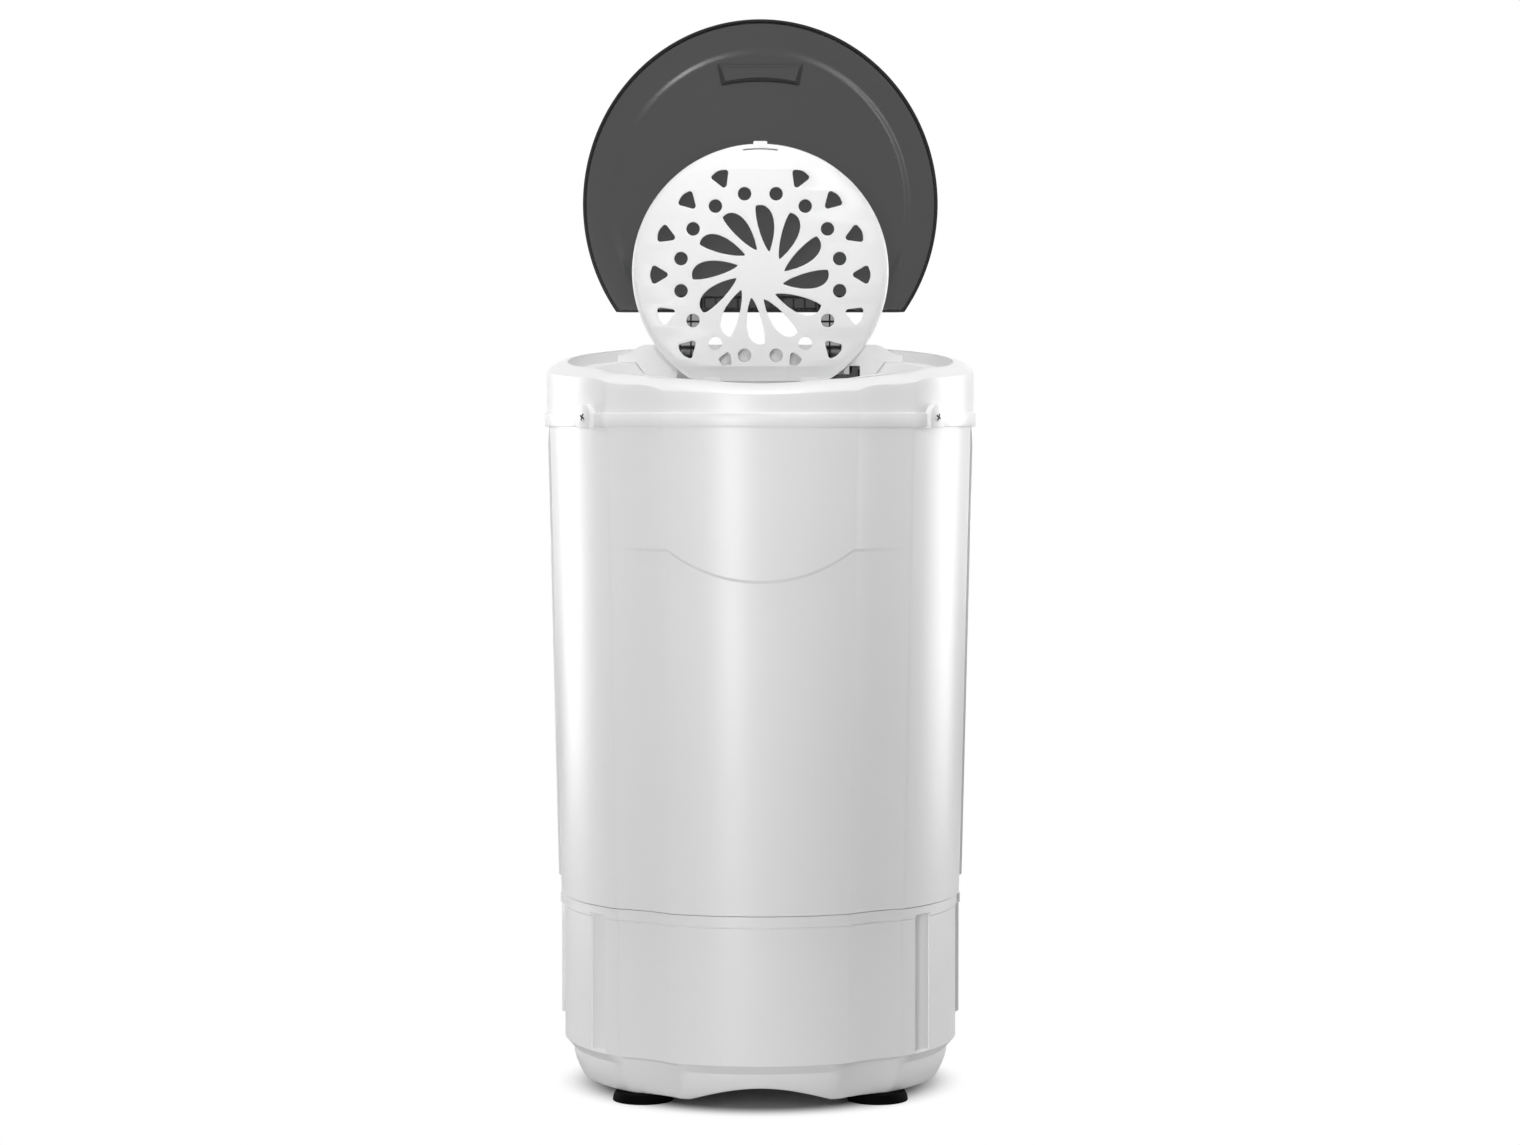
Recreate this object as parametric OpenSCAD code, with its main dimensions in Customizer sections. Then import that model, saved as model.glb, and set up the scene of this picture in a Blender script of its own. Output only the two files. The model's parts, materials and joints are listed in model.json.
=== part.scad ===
// Laundry spin dryer: a fluted tower casing on four rubber feet, with a sloping top cover,
// a smoked outer lid and a perforated inner lid, shown with both lids standing open.
// The origin is on the floor, under the middle of the casing. The front faces -Y.

/* [Casing] */
// Radius of the body shell at its upper end
body_top_r = 191.8; // [188:0.1:195]
// Radius of the body shell at its lower end
body_low_r = 182.2; // [180:0.1:186]
// Height of the seam between the base and the body shell
seam_z = 174.8; // [172:0.1:178]
// Height of the lower edge of the top cover
cover_z = 600; // [595:1:605]
// Wall thickness of the moulded casing
wall = 3; // [2.5:0.1:3.5]
// Height of the step that frames the upper front, at its lowest point
smile_z = 465.9; // [440:0.1:475]

/* [Base] */
// Radius of the base wall
base_r = 179; // [177:0.1:180]
// Height of the ledge where the base starts to draw in
ledge_z = 43.5; // [40:0.1:48]
// Radius of the lower edge of the base
base_low_r = 162.4; // [160:0.1:164]
// Height of the lower edge of the base above the floor
base_low_z = 9.2; // [8.6:0.1:10]

/* [Top cover] */
// Radius of the flange at the foot of the cover
flange_r = 196.5; // [195.5:0.1:197]
// Radius of the cover wall
cover_r = 194.6; // [194:0.1:195]
// Height of the cover's rim over the middle of the casing
rim_z = 660; // [658:0.5:662]
// Fall of the rim towards the front, in millimetres a millimetre
rim_slope = 0.1; // [0.09:0.005:0.11]
// Radius of the opening that the outer lid closes
opening_r = 175.7; // [175:0.1:177]

/* [Lids] */
// Half the width of the outer lid
lid_r = 168.8; // [167:0.1:170]
// Length of the outer lid from hinge to front, as a share of its width
lid_stretch = 1.043; // [1:0.001:1.045]
// Angle by which the open outer lid leans back past upright
lid_lean = 3; // [1:0.5:4]
// Radius of the inner lid
inner_r = 121; // [119:0.5:122]
// Angle by which the open inner lid leans back past upright
inner_lean = 4; // [2:0.5:4]

/* [Drum and tub] */
// Outer radius of the spin drum
drum_r = 125; // [120:1:130]
// Outer radius of the tub round it
tub_r = 150; // [148:1:152]
// Number of hole columns round the drum
drum_columns = 20; // [12:2:24]
// Number of rows of holes up the drum
drum_rows = 8; // [4:1:10]

/* [Feet] */
// Radius of a foot where it stands on the floor
foot_r = 27.2; // [26:0.1:29]
// Distance of the feet from the middle plane, to the left and right
foot_x = 104.5; // [103:0.1:107]
// Distance of the feet from the axis, to the front and rear
foot_y = 102; // [98:1:104]

/* [Hidden] */
$fn = 96;

eps = 0.01;
big = 500;

// Flutes: four upright hollows, at this angle each side of front and rear.
flute_angle = 35.05;
flute_angles = [for (a = [flute_angle, 180 - flute_angle]) for (s = [-1, 1]) s * a - 90];
flute_cut_r = 119 / 191.8;      // radius of a hollow, as a share of the casing radius there
flute_far = 304.2 / 191.8;      // distance of its centre, as the same share
crease = [134 / 191.8, -sqrt(1 - pow(134 / 191.8, 2))];  // outer crease of the right front flute
panel_half = 83.5 / 191.8;      // half width of the front panel, as the same share
ledge_low_r = 171.2;            // radius just below the base's ledge
ledge_low_z = 35;
lip_z = 164.9;                  // lower edge of the lip band round the top of the base
smile_rise = 27;                // rise of the step from its lowest point to the flutes
smile_proud = 1.5;              // height of the step above the surface below it
tongue_r = 191.2;               // the body shell's upper end, inside the cover
tongue_z = 618;

// Rim plane of the cover, and the seat for the lid below it.
rim_angle = atan(rim_slope);
seat_drop = 11;
rim_round = 11;
mouth_r = 106;
deck_z = 628;                   // top of the flat deck round the mouth
deck_t = 4;
funnel_low_r = 145;
funnel_top_r = 165;
funnel_top_z = 664;
mouth_flat_y = 78;
collar_z = 617.5;

// Hinges of the two lids. Both axes run along X.
lid_axis = [142, 670];          // [y, z]
inner_axis = [104, 634];
lid_centre = 141.2;               // from the axis to the middle of the outer lid
lid_chord = 102.8;              // from the middle to the straight edge
lid_low_w = -5.2;               // heights above the hinge plane, with the lid closed
lid_top_w = 3.3;
lid_wall = 2.6;
arm_x = 66;
arm_w = 22;
arm_slot = arm_w + 4;
lid_pin_r = 3;
lid_pin_l = 35;
inner_centre = 112;
inner_flat = 88;
inner_rim_flat = 99.5;
inner_pin_r = 2;
inner_lug_x = 46;
running = 0.05;                 // radial play of a pin that turns

deck_front_y = 112;             // front wall of the hinge housing
deck_top_z = 677;
deck_half = 107;
lever_axis = [124, 650];
lever_pin_r = 1.5;

// Heights of the inner works.
panel_z = 22;
panel_t = 3;
plate_z = 52;
plate_t = 3;
motor_r = 62;
bell_low_z = plate_z + plate_t;
stator_z = 80;
stator_h = 44;
bell_top_z = 150;
tub_z = 190;
tub_top_z = 618;
drum_z = 222;
drum_top_z = 604;
shaft_r = 6;
brake_r = 42;
brake_z = 157;
brake_h = 18;
brake_pivot = [58, -48];
brake_pin_r = 4;

screw_angles = [-38.8, -141.2, 38.8, 141.2];
screw_z = 608.5;
screw_face_r = 200;             // outer face of the bosses round the cover's screws
panel_screw_angles = [20, 110, 200, 290];
panel_screw_r = 150;
foot_screw_r = 2.3;
slot_angles = [-36.3, -143.7, 36.3, 143.7];
drain_x = 60;
drain_z = 96;
drain_r = 10;
spigot_boss_y = 173.2;          // outer end of the boss round the spigot
spigot_free = 20;
gland_x = -60;
gland_z = 70;
gland_r = 4;

white = "whitesmoke";
smoke = "dimgray";
rubber = "black";
steel = "silver";
dark = "slategray";

function body_r(z) = body_low_r + (body_top_r - body_low_r) * (z - seam_z) / (cover_z - seam_z);
function funnel_r(z) = funnel_low_r + (funnel_top_r - funnel_low_r) * (z - deck_z)
    / (funnel_top_z - deck_z);
function ring(r, from, to, n) = [for (i = [0:n]) let (a = from + (to - from) * i / n)
    [r * cos(a), r * sin(a)]];

// ---- helpers ----

// A solid of revolution cone between two heights.
module cone(z0, z1, r0, r1) {
    translate([0, 0, z0]) cylinder(h = z1 - z0, r1 = r0, r2 = r1);
}

// A ring with flat ends.
module tube(z0, z1, outer, inner) {
    difference() {
        cone(z0, z1, outer, outer);
        cone(z0 - 1, z1 + 1, inner, inner);
    }
}

// The hollows that make the flutes, for a casing that runs from radius r0 to r1. An inset
// makes them wider by a wall, for the inside of the shell.
module flute_cutters(z0, z1, r0, r1, inset = 0, angles = flute_angles) {
    lean = atan(flute_far * (r1 - r0) / (z1 - z0));
    for (a = angles) rotate([0, 0, a])
        translate([flute_far * r0, 0, z0]) rotate([0, lean, 0])
            cylinder(h = (z1 - z0) / cos(lean), r1 = flute_cut_r * r0 + inset,
                r2 = flute_cut_r * r1 + inset);
}

// A fluted cone, drawn in by the inset.
module fluted(z0, z1, r0, r1, inset = 0) {
    spare = 2;
    slope = (r1 - r0) / (z1 - z0);
    difference() {
        cone(z0, z1, r0 - inset, r1 - inset);
        flute_cutters(z0 - spare, z1 + spare, r0 - spare * slope, r1 + spare * slope, inset);
    }
}

// Everything below a plane that falls towards the front, drop below the rim plane.
module below_rim(drop) {
    translate([0, 0, rim_z - drop]) rotate([rim_angle, 0, 0])
        translate([-big / 2, -big / 2, -big]) cube([big, big, big]);
}

// A countersunk or pan head screw that points inwards along -Z from its head at z = 0.
module pan_screw(head_r, head_h, shank_r, length) {
    difference() {
        union() {
            intersection() {
                cylinder(h = head_h, r = head_r);
                translate([0, 0, head_h - head_r * 1.6]) sphere(r = head_r * 1.6);
            }
            translate([0, 0, -length]) cylinder(h = length + eps, r = shank_r);
        }
        for (a = [0, 90]) rotate([0, 0, a])
            translate([-head_r * 0.6, -head_r * 0.13, head_h * 0.45])
                cube([head_r * 1.2, head_r * 0.26, head_h]);
    }
}

module on_side(angle, r, z) {
    rotate([0, 0, angle]) translate([r, 0, z]) rotate([0, 90, 0]) children();
}

// ---- base ----

// Outline of the opening under the front and rear edge: a low arch with swept ends.
module arch_outline() {
    half = 60;
    rise = 20.6;
    steps = 16;
    polygon(concat(
        [[half + 4, -10], [half + 4, base_low_z - 1]],
        [for (i = [steps:-1:-steps]) let (x = half * i / steps)
            [x, base_low_z - 1 + (rise - base_low_z + 1) * (1 + cos(180 * i / steps)) / 2]],
        [[-half - 4, base_low_z - 1], [-half - 4, -10]]));
}

// The outside of the base, or with an inset of one wall its inside, which is open below.
module base_outer(inset) {
    turn = 12;
    bevel_rate = (ledge_low_r - base_low_r) / (ledge_low_z - base_low_z);
    open = inset > 0 ? 5 : 0;
    low = base_low_z - open;
    shelf_z = ledge_z + inset;
    bulge = [for (i = [0:turn]) let (t = i / turn)
        [base_low_r + (ledge_low_r - base_low_r) * sin(90 * t) - inset,
            base_low_z + (ledge_low_z - base_low_z) * t]];
    difference() {
        union() {
            rotate_extrude() polygon(concat([[0, low], [base_low_r - inset, low]], bulge,
                [[ledge_low_r - inset, shelf_z + 2], [0, shelf_z + 2]]));
            cone(ledge_low_z + inset, shelf_z, ledge_low_r - inset, base_r - inset);
        }
        flute_cutters(0, ledge_z + 6, base_low_r - bevel_rate * base_low_z,
            ledge_low_r + bevel_rate * (ledge_z + 6 - ledge_low_z), inset);
    }
    fluted(shelf_z, seam_z + open, base_r, base_r, inset);
}

// A tall slot beside a flute. Its floor is turned towards the front, or at the rear towards
// the rear. With an inset of one wall it is the space that the wall behind it fills.
module slot(angle, inset, low, high) {
    half = 9.5 + inset;
    shallow = base_r - 0.8 - inset;
    deep = shallow - 2 * half * tan(20);
    s = sin(angle) * cos(angle) > 0 ? 1 : -1;
    rotate([0, 0, angle]) translate([0, 0, low]) linear_extrude(height = high - low)
        polygon([[shallow, -s * half], [base_r + 12, -s * half], [base_r + 12, s * half],
            [deep, s * half]]);
}

module base_shell() {
    rail_w = 24;
    color(white) difference() {
        union() {
            base_outer(0);
            translate([drain_x, 150, drain_z]) rotate([-90, 0, 0])
                cylinder(h = spigot_boss_y - 150, r = drain_r + 4);
            difference() {
                fluted(lip_z, seam_z, base_r + 0.8, base_r + 0.8);
                cone(lip_z - 1, seam_z + 1, base_r - 6, base_r - 6);
            }
            for (s = [-1, 1]) intersection() {
                cone(64.7, seam_z - 1, base_r + 3, base_r + 3);
                translate([s > 0 ? 150 : -190, -rail_w / 2, 60]) cube([40, rail_w, 120]);
            }
        }
        difference() {
            base_outer(wall);
            // seat for the bottom panel, and the backs of the slots
            tube(panel_z + panel_t, panel_z + panel_t + 4, 200, 144);
            for (a = slot_angles) slot(a, wall, ledge_z - 3, lip_z + 5);
        }
        for (a = slot_angles) slot(a, 0, ledge_z + 1, lip_z + 2);
        for (x = [-foot_x, foot_x]) for (y = [-foot_y, foot_y])
            translate([x, y, panel_z]) cylinder(h = 12, r = foot_screw_r + 0.1);
        rotate([90, 0, 0]) translate([0, 0, -big / 2])
            linear_extrude(height = big) arch_outline();
        translate([drain_x, 150, drain_z]) rotate([-90, 0, 0])
            cylinder(h = 40, r = drain_r - 0.5);
        translate([gland_x, 150, gland_z]) rotate([-90, 0, 0]) cylinder(h = 40, r = 7);
        for (a = panel_screw_angles) rotate([0, 0, a])
            translate([panel_screw_r, 0, panel_z]) cylinder(h = 12, r = 1.6);
    }
}

module bottom_panel() {
    color(white) difference() {
        union() {
            cone(panel_z, panel_z + panel_t, 155.5, 155.5);
            // stiffening rings and spokes on the upper side
            for (r = [60, 118]) tube(panel_z + panel_t - eps, panel_z + 8, r + 1.5, r - 1.5);
            for (a = [15:30:345]) rotate([0, 0, a])
                translate([61, -1.2, panel_z + panel_t - eps]) cube([56, 2.4, 4]);
        }
        // air openings under the motor fan
        for (a = [0:30:330]) rotate([0, 0, a])
            translate([24, -3, panel_z - 1]) cube([28, 6, panel_t + 2]);
        for (x = [-foot_x, foot_x]) for (y = [-foot_y, foot_y])
            translate([x, y, panel_z - 1]) cylinder(h = 12, r = 2.6);
        for (a = panel_screw_angles) rotate([0, 0, a])
            translate([panel_screw_r, 0, panel_z - 1]) cylinder(h = 12, r = 2.1);
    }
}

module panel_screws() {
    color(steel) for (a = panel_screw_angles) rotate([0, 0, a])
        translate([panel_screw_r, 0, panel_z]) mirror([0, 0, 1]) pan_screw(4, 2, 1.5, 7);
}

// One rubber foot: a ribbed pad that reaches under the edge of the base, and a stem above it.
module foot(x, y) {
    pad_h = base_low_z - 0.8;
    rings = 4;
    color(rubber) difference() {
        union() {
            translate([x, y, 0]) rotate_extrude() polygon(concat([[0, 0], [foot_r - 1, 0]],
                [for (i = [0:rings - 1]) for (p = [[0, 0.5], [0, 1.5], [-0.7, 1.8], [-0.7, 2]])
                    [foot_r - 0.35 * i + p[0], 2 * i + p[1]]],
                [[foot_r - 2.4, pad_h], [0, pad_h]]));
            intersection() {
                translate([x, y, pad_h - 1]) cylinder(h = panel_z - pad_h + 1, r = 24);
                cone(0, panel_z, 152, 152);
            }
        }
        translate([x, y, -1]) cylinder(h = 12, r = 7);
        translate([x, y, 0]) cylinder(h = 40, r = 2.6);
    }
}

module foot_front_left() { foot(-foot_x, -foot_y); }
module foot_front_right() { foot(foot_x, -foot_y); }
module foot_rear_left() { foot(-foot_x, foot_y); }
module foot_rear_right() { foot(foot_x, foot_y); }

module foot_screws() {
    color(steel) for (x = [-foot_x, foot_x]) for (y = [-foot_y, foot_y])
        translate([x, y, 11]) mirror([0, 0, 1]) pan_screw(5, 3, foot_screw_r, 16);
}

// ---- body ----

// The front above the step stands a little proud of the front below it. Each flute there
// turns about its outer crease, so the step fades to nothing at the crease.
module smile_front() {
    chord = 61.7;
    turn = atan(smile_proud / chord);
    arc_r = (pow(panel_half * body_top_r, 2) + pow(smile_rise, 2)) / (2 * smile_rise);
    half = panel_half * body_r(smile_z);
    flute_half = crease[0] * body_r(smile_z + smile_rise) - 0.4;
    mid_r = body_r(550);
    difference() {
        intersection() {
            cone(smile_z - 2, cover_z, body_r(smile_z - 2) + smile_proud,
                body_r(cover_z) + smile_proud);
            rotate([90, 0, 0]) linear_extrude(height = big) {
                translate([-flute_half, smile_z + smile_rise])
                    square([2 * flute_half, cover_z - smile_z - smile_rise]);
                intersection() {
                    translate([0, smile_z + arc_r]) circle(r = arc_r);
                    translate([-half, smile_z]) square([2 * half, smile_rise + 1]);
                }
            }
            translate([-big / 2, -big, 0]) cube([big, big - 100, big * 2]);
        }
        cone(smile_z - 5, cover_z + 5, body_r(smile_z) - 9, body_r(cover_z) - 9);
        for (s = [-1, 1]) translate([s * crease[0] * mid_r, crease[1] * mid_r, 0])
            rotate([0, 0, s * turn])
                translate([-s * crease[0] * mid_r, -crease[1] * mid_r, 0])
                    flute_cutters(seam_z, cover_z + 5, body_low_r,
                        body_r(cover_z + 5), 0, [s * flute_angle - 90]);
    }
}

module body_shell() {
    rail_w = 24;
    color(white) difference() {
        union() {
            fluted(seam_z, cover_z, body_low_r, body_top_r);
            fluted(cover_z - eps, tongue_z, tongue_r, tongue_r);
            smile_front();
            for (s = [-1, 1]) intersection() {
                cone(190.4, cover_z - 2, body_r(190.4) + 2, body_r(cover_z) + 2);
                translate([s > 0 ? 170 : -210, -rail_w / 2, 180]) cube([40, rail_w, 430]);
            }
        }
        fluted(seam_z - 1, cover_z - 4, body_low_r, body_r(cover_z - 4), wall);
        fluted(cover_z - 4 - eps, tongue_z + 1, tongue_r - 0.5, tongue_r - 0.5, wall - 0.6);
        for (a = screw_angles) on_side(a, 170, screw_z) cylinder(h = 40, r = 2.1);
    }
}

// ---- top cover ----

// Shape of the cover's top edge: a flat rim band with a round outer shoulder, square to the
// sloping rim plane.
module rim_cap() {
    reach = cover_r + 0.9;
    steps = 10;
    last = 84;
    translate([0, 0, rim_z]) rotate([rim_angle, 0, 0]) rotate_extrude()
        polygon(concat([[0, -120], [reach + 14, -120]],
            [for (i = [steps:-1:0]) let (a = last * i / steps)
                [reach - rim_round + rim_round * sin(a), rim_round * cos(a) - rim_round]],
            [[0, 0]]));
}

module screw_boss(angle) {
    half = 8;
    root = 180;
    mid = screw_z + 2;
    rotate([0, 0, angle]) translate([root, 0, mid]) rotate([0, 90, 0]) {
        cylinder(h = screw_face_r - root, r = half);
        translate([0, -half, 0]) cube([mid - cover_z, 2 * half, screw_face_r - root]);
    }
}

module cover_void() {
    gap = wall + 0.2;
    // between the outer wall and the side of the opening
    difference() {
        intersection() {
            fluted(cover_z - 1, 700, cover_r, cover_r, wall);
            below_rim(wall + 0.5);
        }
        cone(cover_z - 2, 720, opening_r + gap, opening_r + gap);
    }
    // under the seat and the funnel
    difference() {
        intersection() {
            cone(cover_z - 1, 700, opening_r + gap + eps, opening_r + gap + eps);
            below_rim(seat_drop + gap);
            fluted(cover_z - 1, 700, cover_r, cover_r, wall);
        }
        cone(deck_z - deck_t, 700, funnel_low_r + wall, funnel_r(700) + wall);
        // collar that hangs from the mouth, down to the drum
        difference() {
            cone(collar_z, deck_z, mouth_r + wall, mouth_r + wall);
            translate([-big / 2, mouth_flat_y + wall, cover_z]) cube([big, big, 50]);
        }
    }
}

module top_cover() {
    lug_w = 7;
    color(white) difference() {
        union() {
            difference() {
                union() {
                    intersection() {
                        fluted(cover_z, 700, cover_r, cover_r);
                        rim_cap();
                    }
                    fluted(cover_z, cover_z + 12.2, flange_r, flange_r);
                    for (a = screw_angles) screw_boss(a);
                }
                cover_void();
                // the opening, down to the seat of the outer lid
                difference() {
                    cone(cover_z, 720, opening_r, opening_r);
                    below_rim(seat_drop);
                }
                // the funnel down to the deck
                cone(deck_z, 700, funnel_low_r, funnel_r(700));
            }
            // lugs that carry the pins of the inner lid
            for (s = [-1, 1]) for (side = [-1, 1])
                translate([s * inner_lug_x + side * 12.3 - lug_w / 2, 0, 0]) {
                    translate([0, inner_axis[0] - 5, deck_z - 1])
                        cube([lug_w, 10, inner_axis[1] - deck_z + 1]);
                    translate([0, inner_axis[0], inner_axis[1]]) rotate([0, 90, 0])
                        cylinder(h = lug_w, r = 5);
                }
        }
        // the mouth over the drum, with a straight side at the hinge
        difference() {
            cone(cover_z - 2, deck_z + 1, mouth_r, mouth_r);
            translate([-big / 2, mouth_flat_y, cover_z]) cube([big, big, 50]);
        }
        for (s = [-1, 1]) translate([s * inner_lug_x - 30, inner_axis[0], inner_axis[1]])
            rotate([0, 90, 0]) cylinder(h = 60, r = inner_pin_r);
        for (a = screw_angles) on_side(a, 180, screw_z) cylinder(h = 40, r = 2.1);
        // pocket that the interlock switch reaches down into
        translate([82.5, 116, 636]) cube([23, 34, 40]);
        for (s = [-1, 1]) translate([s * 30, 158, 640]) cylinder(h = 60, r = 1.9);
    }
}

module cover_screws() {
    color(steel) for (a = screw_angles) on_side(a, screw_face_r, screw_z)
        pan_screw(4.2, 1.8, 2, 14);
}

// ---- hinge housing ----

// The raised bridge behind the lids. It carries the outer lid's pins and hides the switch.
module housing_outline() {
    steps = 10;
    shoulder = 26;
    fall = 10;
    polygon(concat([[-150, 640], [150, 640], [150, deck_top_z - fall]],
        [for (i = [steps:-1:0]) let (t = i / steps)
            [deck_half + shoulder * t, deck_top_z - fall * (1 - cos(180 * t)) / 2]],
        [for (i = [0:steps]) let (t = i / steps)
            [-deck_half - shoulder * t, deck_top_z - fall * (1 - cos(180 * t)) / 2]],
        [[-150, deck_top_z - fall]]));
}

module hinge_housing() {
    lift = 0.2;
    side_lift = 666;
    low = 640;
    color(white) difference() {
        intersection() {
            translate([0, 200, 0]) rotate([90, 0, 0])
                linear_extrude(height = 200 - deck_front_y) housing_outline();
            cone(600, 700, opening_r - 0.6, opening_r - 0.6);
            union() {
                difference() {
                    cone(600, 700, 190, 190);
                    below_rim(seat_drop - lift);
                }
                cone(low, 700, funnel_r(low) - 0.8, funnel_r(700) - 0.8);
            }
        }
        // the hollow underneath, but for the blocks that hold the pins and the screws
        difference() {
            intersection() {
                translate([0, deck_front_y + wall, 600]) {
                    translate([-104, 0, 0]) cube([208, 100, deck_top_z - wall - 600]);
                    translate([-122, 0, 0]) cube([244, 100, side_lift - 600]);
                }
                cone(600, 700, opening_r - 4, opening_r - 4);
            }
            for (s = [-1, 1]) translate([s * arm_x - lid_pin_l / 2, lid_axis[0] - 8, low])
                cube([lid_pin_l, 22, 60]);
            for (s = [-1, 1]) translate([s * 30, 158, low]) cylinder(h = 60, r = 5);
        }
        // slots that the arms of the lid swing in
        for (s = [-1, 1]) translate([s * arm_x - arm_slot / 2, deck_front_y - 1, low - 1])
            cube([arm_slot, lid_axis[0] + 11 - deck_front_y + 1, 60]);
        // opening in the front wall for the interlock lever
        translate([84, deck_front_y - 1, 644]) cube([10, wall + 2, 13]);
        for (s = [-1, 1]) translate([s * arm_x - lid_pin_l / 2 - 1, lid_axis[0], lid_axis[1]])
            rotate([0, 90, 0]) cylinder(h = lid_pin_l + 2, r = lid_pin_r);
        for (s = [-1, 1]) translate([s * 30, 158, low]) cylinder(h = 60, r = 2);
    }
}

module housing_screws() {
    color(steel) for (s = [-1, 1]) translate([s * 30, 158, deck_top_z]) pan_screw(4, 1.6, 1.9, 16);
}

module lid_bumpers() {
    pad_at = 168.5;
    color(rubber) for (a = [-90, -30, -150])
        translate([pad_at * cos(a), pad_at * sin(a),
            rim_z - seat_drop + rim_slope * pad_at * sin(a)])
            rotate([rim_angle, 0, 0]) cylinder(h = 1.1, r = 4);
}

module lid_hinge_pins() {
    color(steel) for (s = [-1, 1])
        translate([s * arm_x - lid_pin_l / 2, lid_axis[0], lid_axis[1]])
            rotate([0, 90, 0]) cylinder(h = lid_pin_l, r = lid_pin_r);
}

module inner_lid_pins() {
    color(steel) for (s = [-1, 1]) translate([s * inner_lug_x - 15.8, inner_axis[0], inner_axis[1]])
        rotate([0, 90, 0]) cylinder(h = 31.6, r = inner_pin_r);
}

// ---- outer lid ----
// Drawn closed and level, with its hinge axis on the X axis and the lid towards -Y, then
// swung up to its open position.

module lid_profile(inset) {
    r = lid_r - inset;
    top = lid_top_w - inset;
    low = inset > 0 ? lid_low_w - 2 : lid_low_w;
    step_r = 134;
    step = 1.5;
    round_r = 5 - inset;
    polygon(concat([[0, low], [r, low]],
        [for (i = [0:8]) let (a = 90 * i / 8)
            [r - round_r + round_r * cos(a), top - step - round_r + round_r * sin(a)]],
        [[step_r + 1.5, top - step], [step_r, top], [0, top]]));
}

module lid_block(inset) {
    difference() {
        translate([0, -lid_centre, 0]) scale([1, lid_stretch, 1])
            rotate_extrude() lid_profile(inset);
        translate([-big / 2, -lid_centre + lid_chord - inset, -20]) cube([big, big, 60]);
    }
}

// Outline of the finger pocket near the front edge, seen from above.
module pocket_outline(grow) {
    bow = 3.8;
    steps = 8;
    near = -lid_centre - 131.5 - grow;
    far = -lid_centre - 115.4 + grow;
    polygon(concat([[-39 - grow, near], [39 + grow, near]],
        [for (i = [steps:-1:-steps]) let (t = i / steps)
            [(35 + grow) * t, far - bow * (1 - t * t)]]));
}

// An arm from the hinge to the underside of the lid, ribbed like a ladder underneath.
module lid_arm() {
    hook = 6;
    rib = 1.4;
    pitch = 11.9;
    reach = 54;
    low = lid_low_w + 0.5;
    top = lid_top_w - 1;
    pocket_w = (arm_w - 3 * rib) / 2;
    difference() {
        union() {
            rotate([0, 90, 0]) cylinder(h = arm_w, r = hook, center = true);
            translate([-arm_w / 2, -reach, low]) cube([arm_w, reach, top - low]);
        }
        for (x = [-arm_w / 2 + rib, rib / 2]) for (k = [1:4])
            translate([x, -5 - pitch * k, low - 2]) cube([pocket_w, pitch - rib, top - low]);
        rotate([0, 90, 0]) cylinder(h = arm_w + 2, r = lid_pin_r + running, center = true);
    }
}

module lid_closed() {
    edge = -lid_centre + lid_chord;
    rib_low = lid_low_w + 1;
    rib_h = 6.5;
    difference() {
        union() {
            difference() {
                lid_block(0);
                lid_block(lid_wall);
            }
            // floor and sides of the finger pocket
            translate([0, 0, lid_low_w + 0.4]) linear_extrude(height = lid_top_w - lid_low_w - 1.5)
                pocket_outline(2);
            // reinforcing box along the straight edge
            for (y = [edge - 4, edge - 15]) translate([-54, y, rib_low]) cube([108, 2, rib_h]);
            for (x = [-54:10.6:53]) translate([x, edge - 15, rib_low]) cube([2, 12, rib_h]);
        }
        translate([0, 0, lid_low_w + 2.4]) linear_extrude(height = 20) pocket_outline(0);
    }
    for (s = [-1, 1]) translate([s * arm_x, 0, 0]) lid_arm();
}

module outer_lid() {
    color(smoke) translate([0, lid_axis[0], lid_axis[1]]) rotate([-90 - lid_lean, 0, 0])
        lid_closed();
}

// ---- inner lid ----
// Drawn closed, with its middle at the origin and its underside at z = 0.

inner_plate_w = inner_axis[1] - 629;      // depth of its underside below the hinge axis

// Half of the outline: a circle of radius r that is cut by a flat side at y = flat, with the
// corner between them rounded.
function inner_half(r, flat, corner, n) =
    let (cy = flat - corner, cx = sqrt(pow(r - corner, 2) - cy * cy), turn = atan2(cy, cx))
    concat(ring(r, -90, turn, n),
        [for (i = [1:6]) let (a = turn + (90 - turn) * i / 6)
            [cx + corner * cos(a), cy + corner * sin(a)]]);

module inner_outline(r, flat, corner) {
    right = inner_half(r, flat, corner, 28);
    polygon(concat(right, [for (i = [len(right) - 1:-1:1]) [-right[i][0], right[i][1]]]));
}

// A swirling petal that lies along the X axis: a little full on one side, round on the other, with
// its slender tip towards the middle.
module petal() {
    tip = [21.6, 8.8];
    length = 44.8;
    width = 12.3;
    steps = 12;
    function fullness(s) = pow(s, 0.95) * pow(1 - s, 0.45) / 0.416;
    function slack(s) = -3.8 * pow(sin(180 * s), 0.55);
    function share(i) = (1 - cos(180 * i / steps)) / 2;
    translate(tip) rotate(-16.5) polygon(concat(
        [for (i = [0:steps]) [length * share(i), width * fullness(share(i))]],
        [for (i = [steps - 1:-1:1]) [length * share(i), slack(share(i))]]));
}

// A triangle with round corners and a full outer side, its point towards the middle.
module rounded_triangle(size = 6.8) {
    corner = 2.8;
    outer = size / 2 + corner;
    polygon(concat([for (k = [0:2]) for (i = [0:4]) let (c = 60 + 120 * k, a = c - 60 + 30 * i)
            size * [cos(c), sin(c)] + corner * [cos(a), sin(a)]],
        [for (y = [-0.5, 0, 0.5]) [outer + 1.4 - 4 * y * y * 0.4, y * size]]));
}

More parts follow.
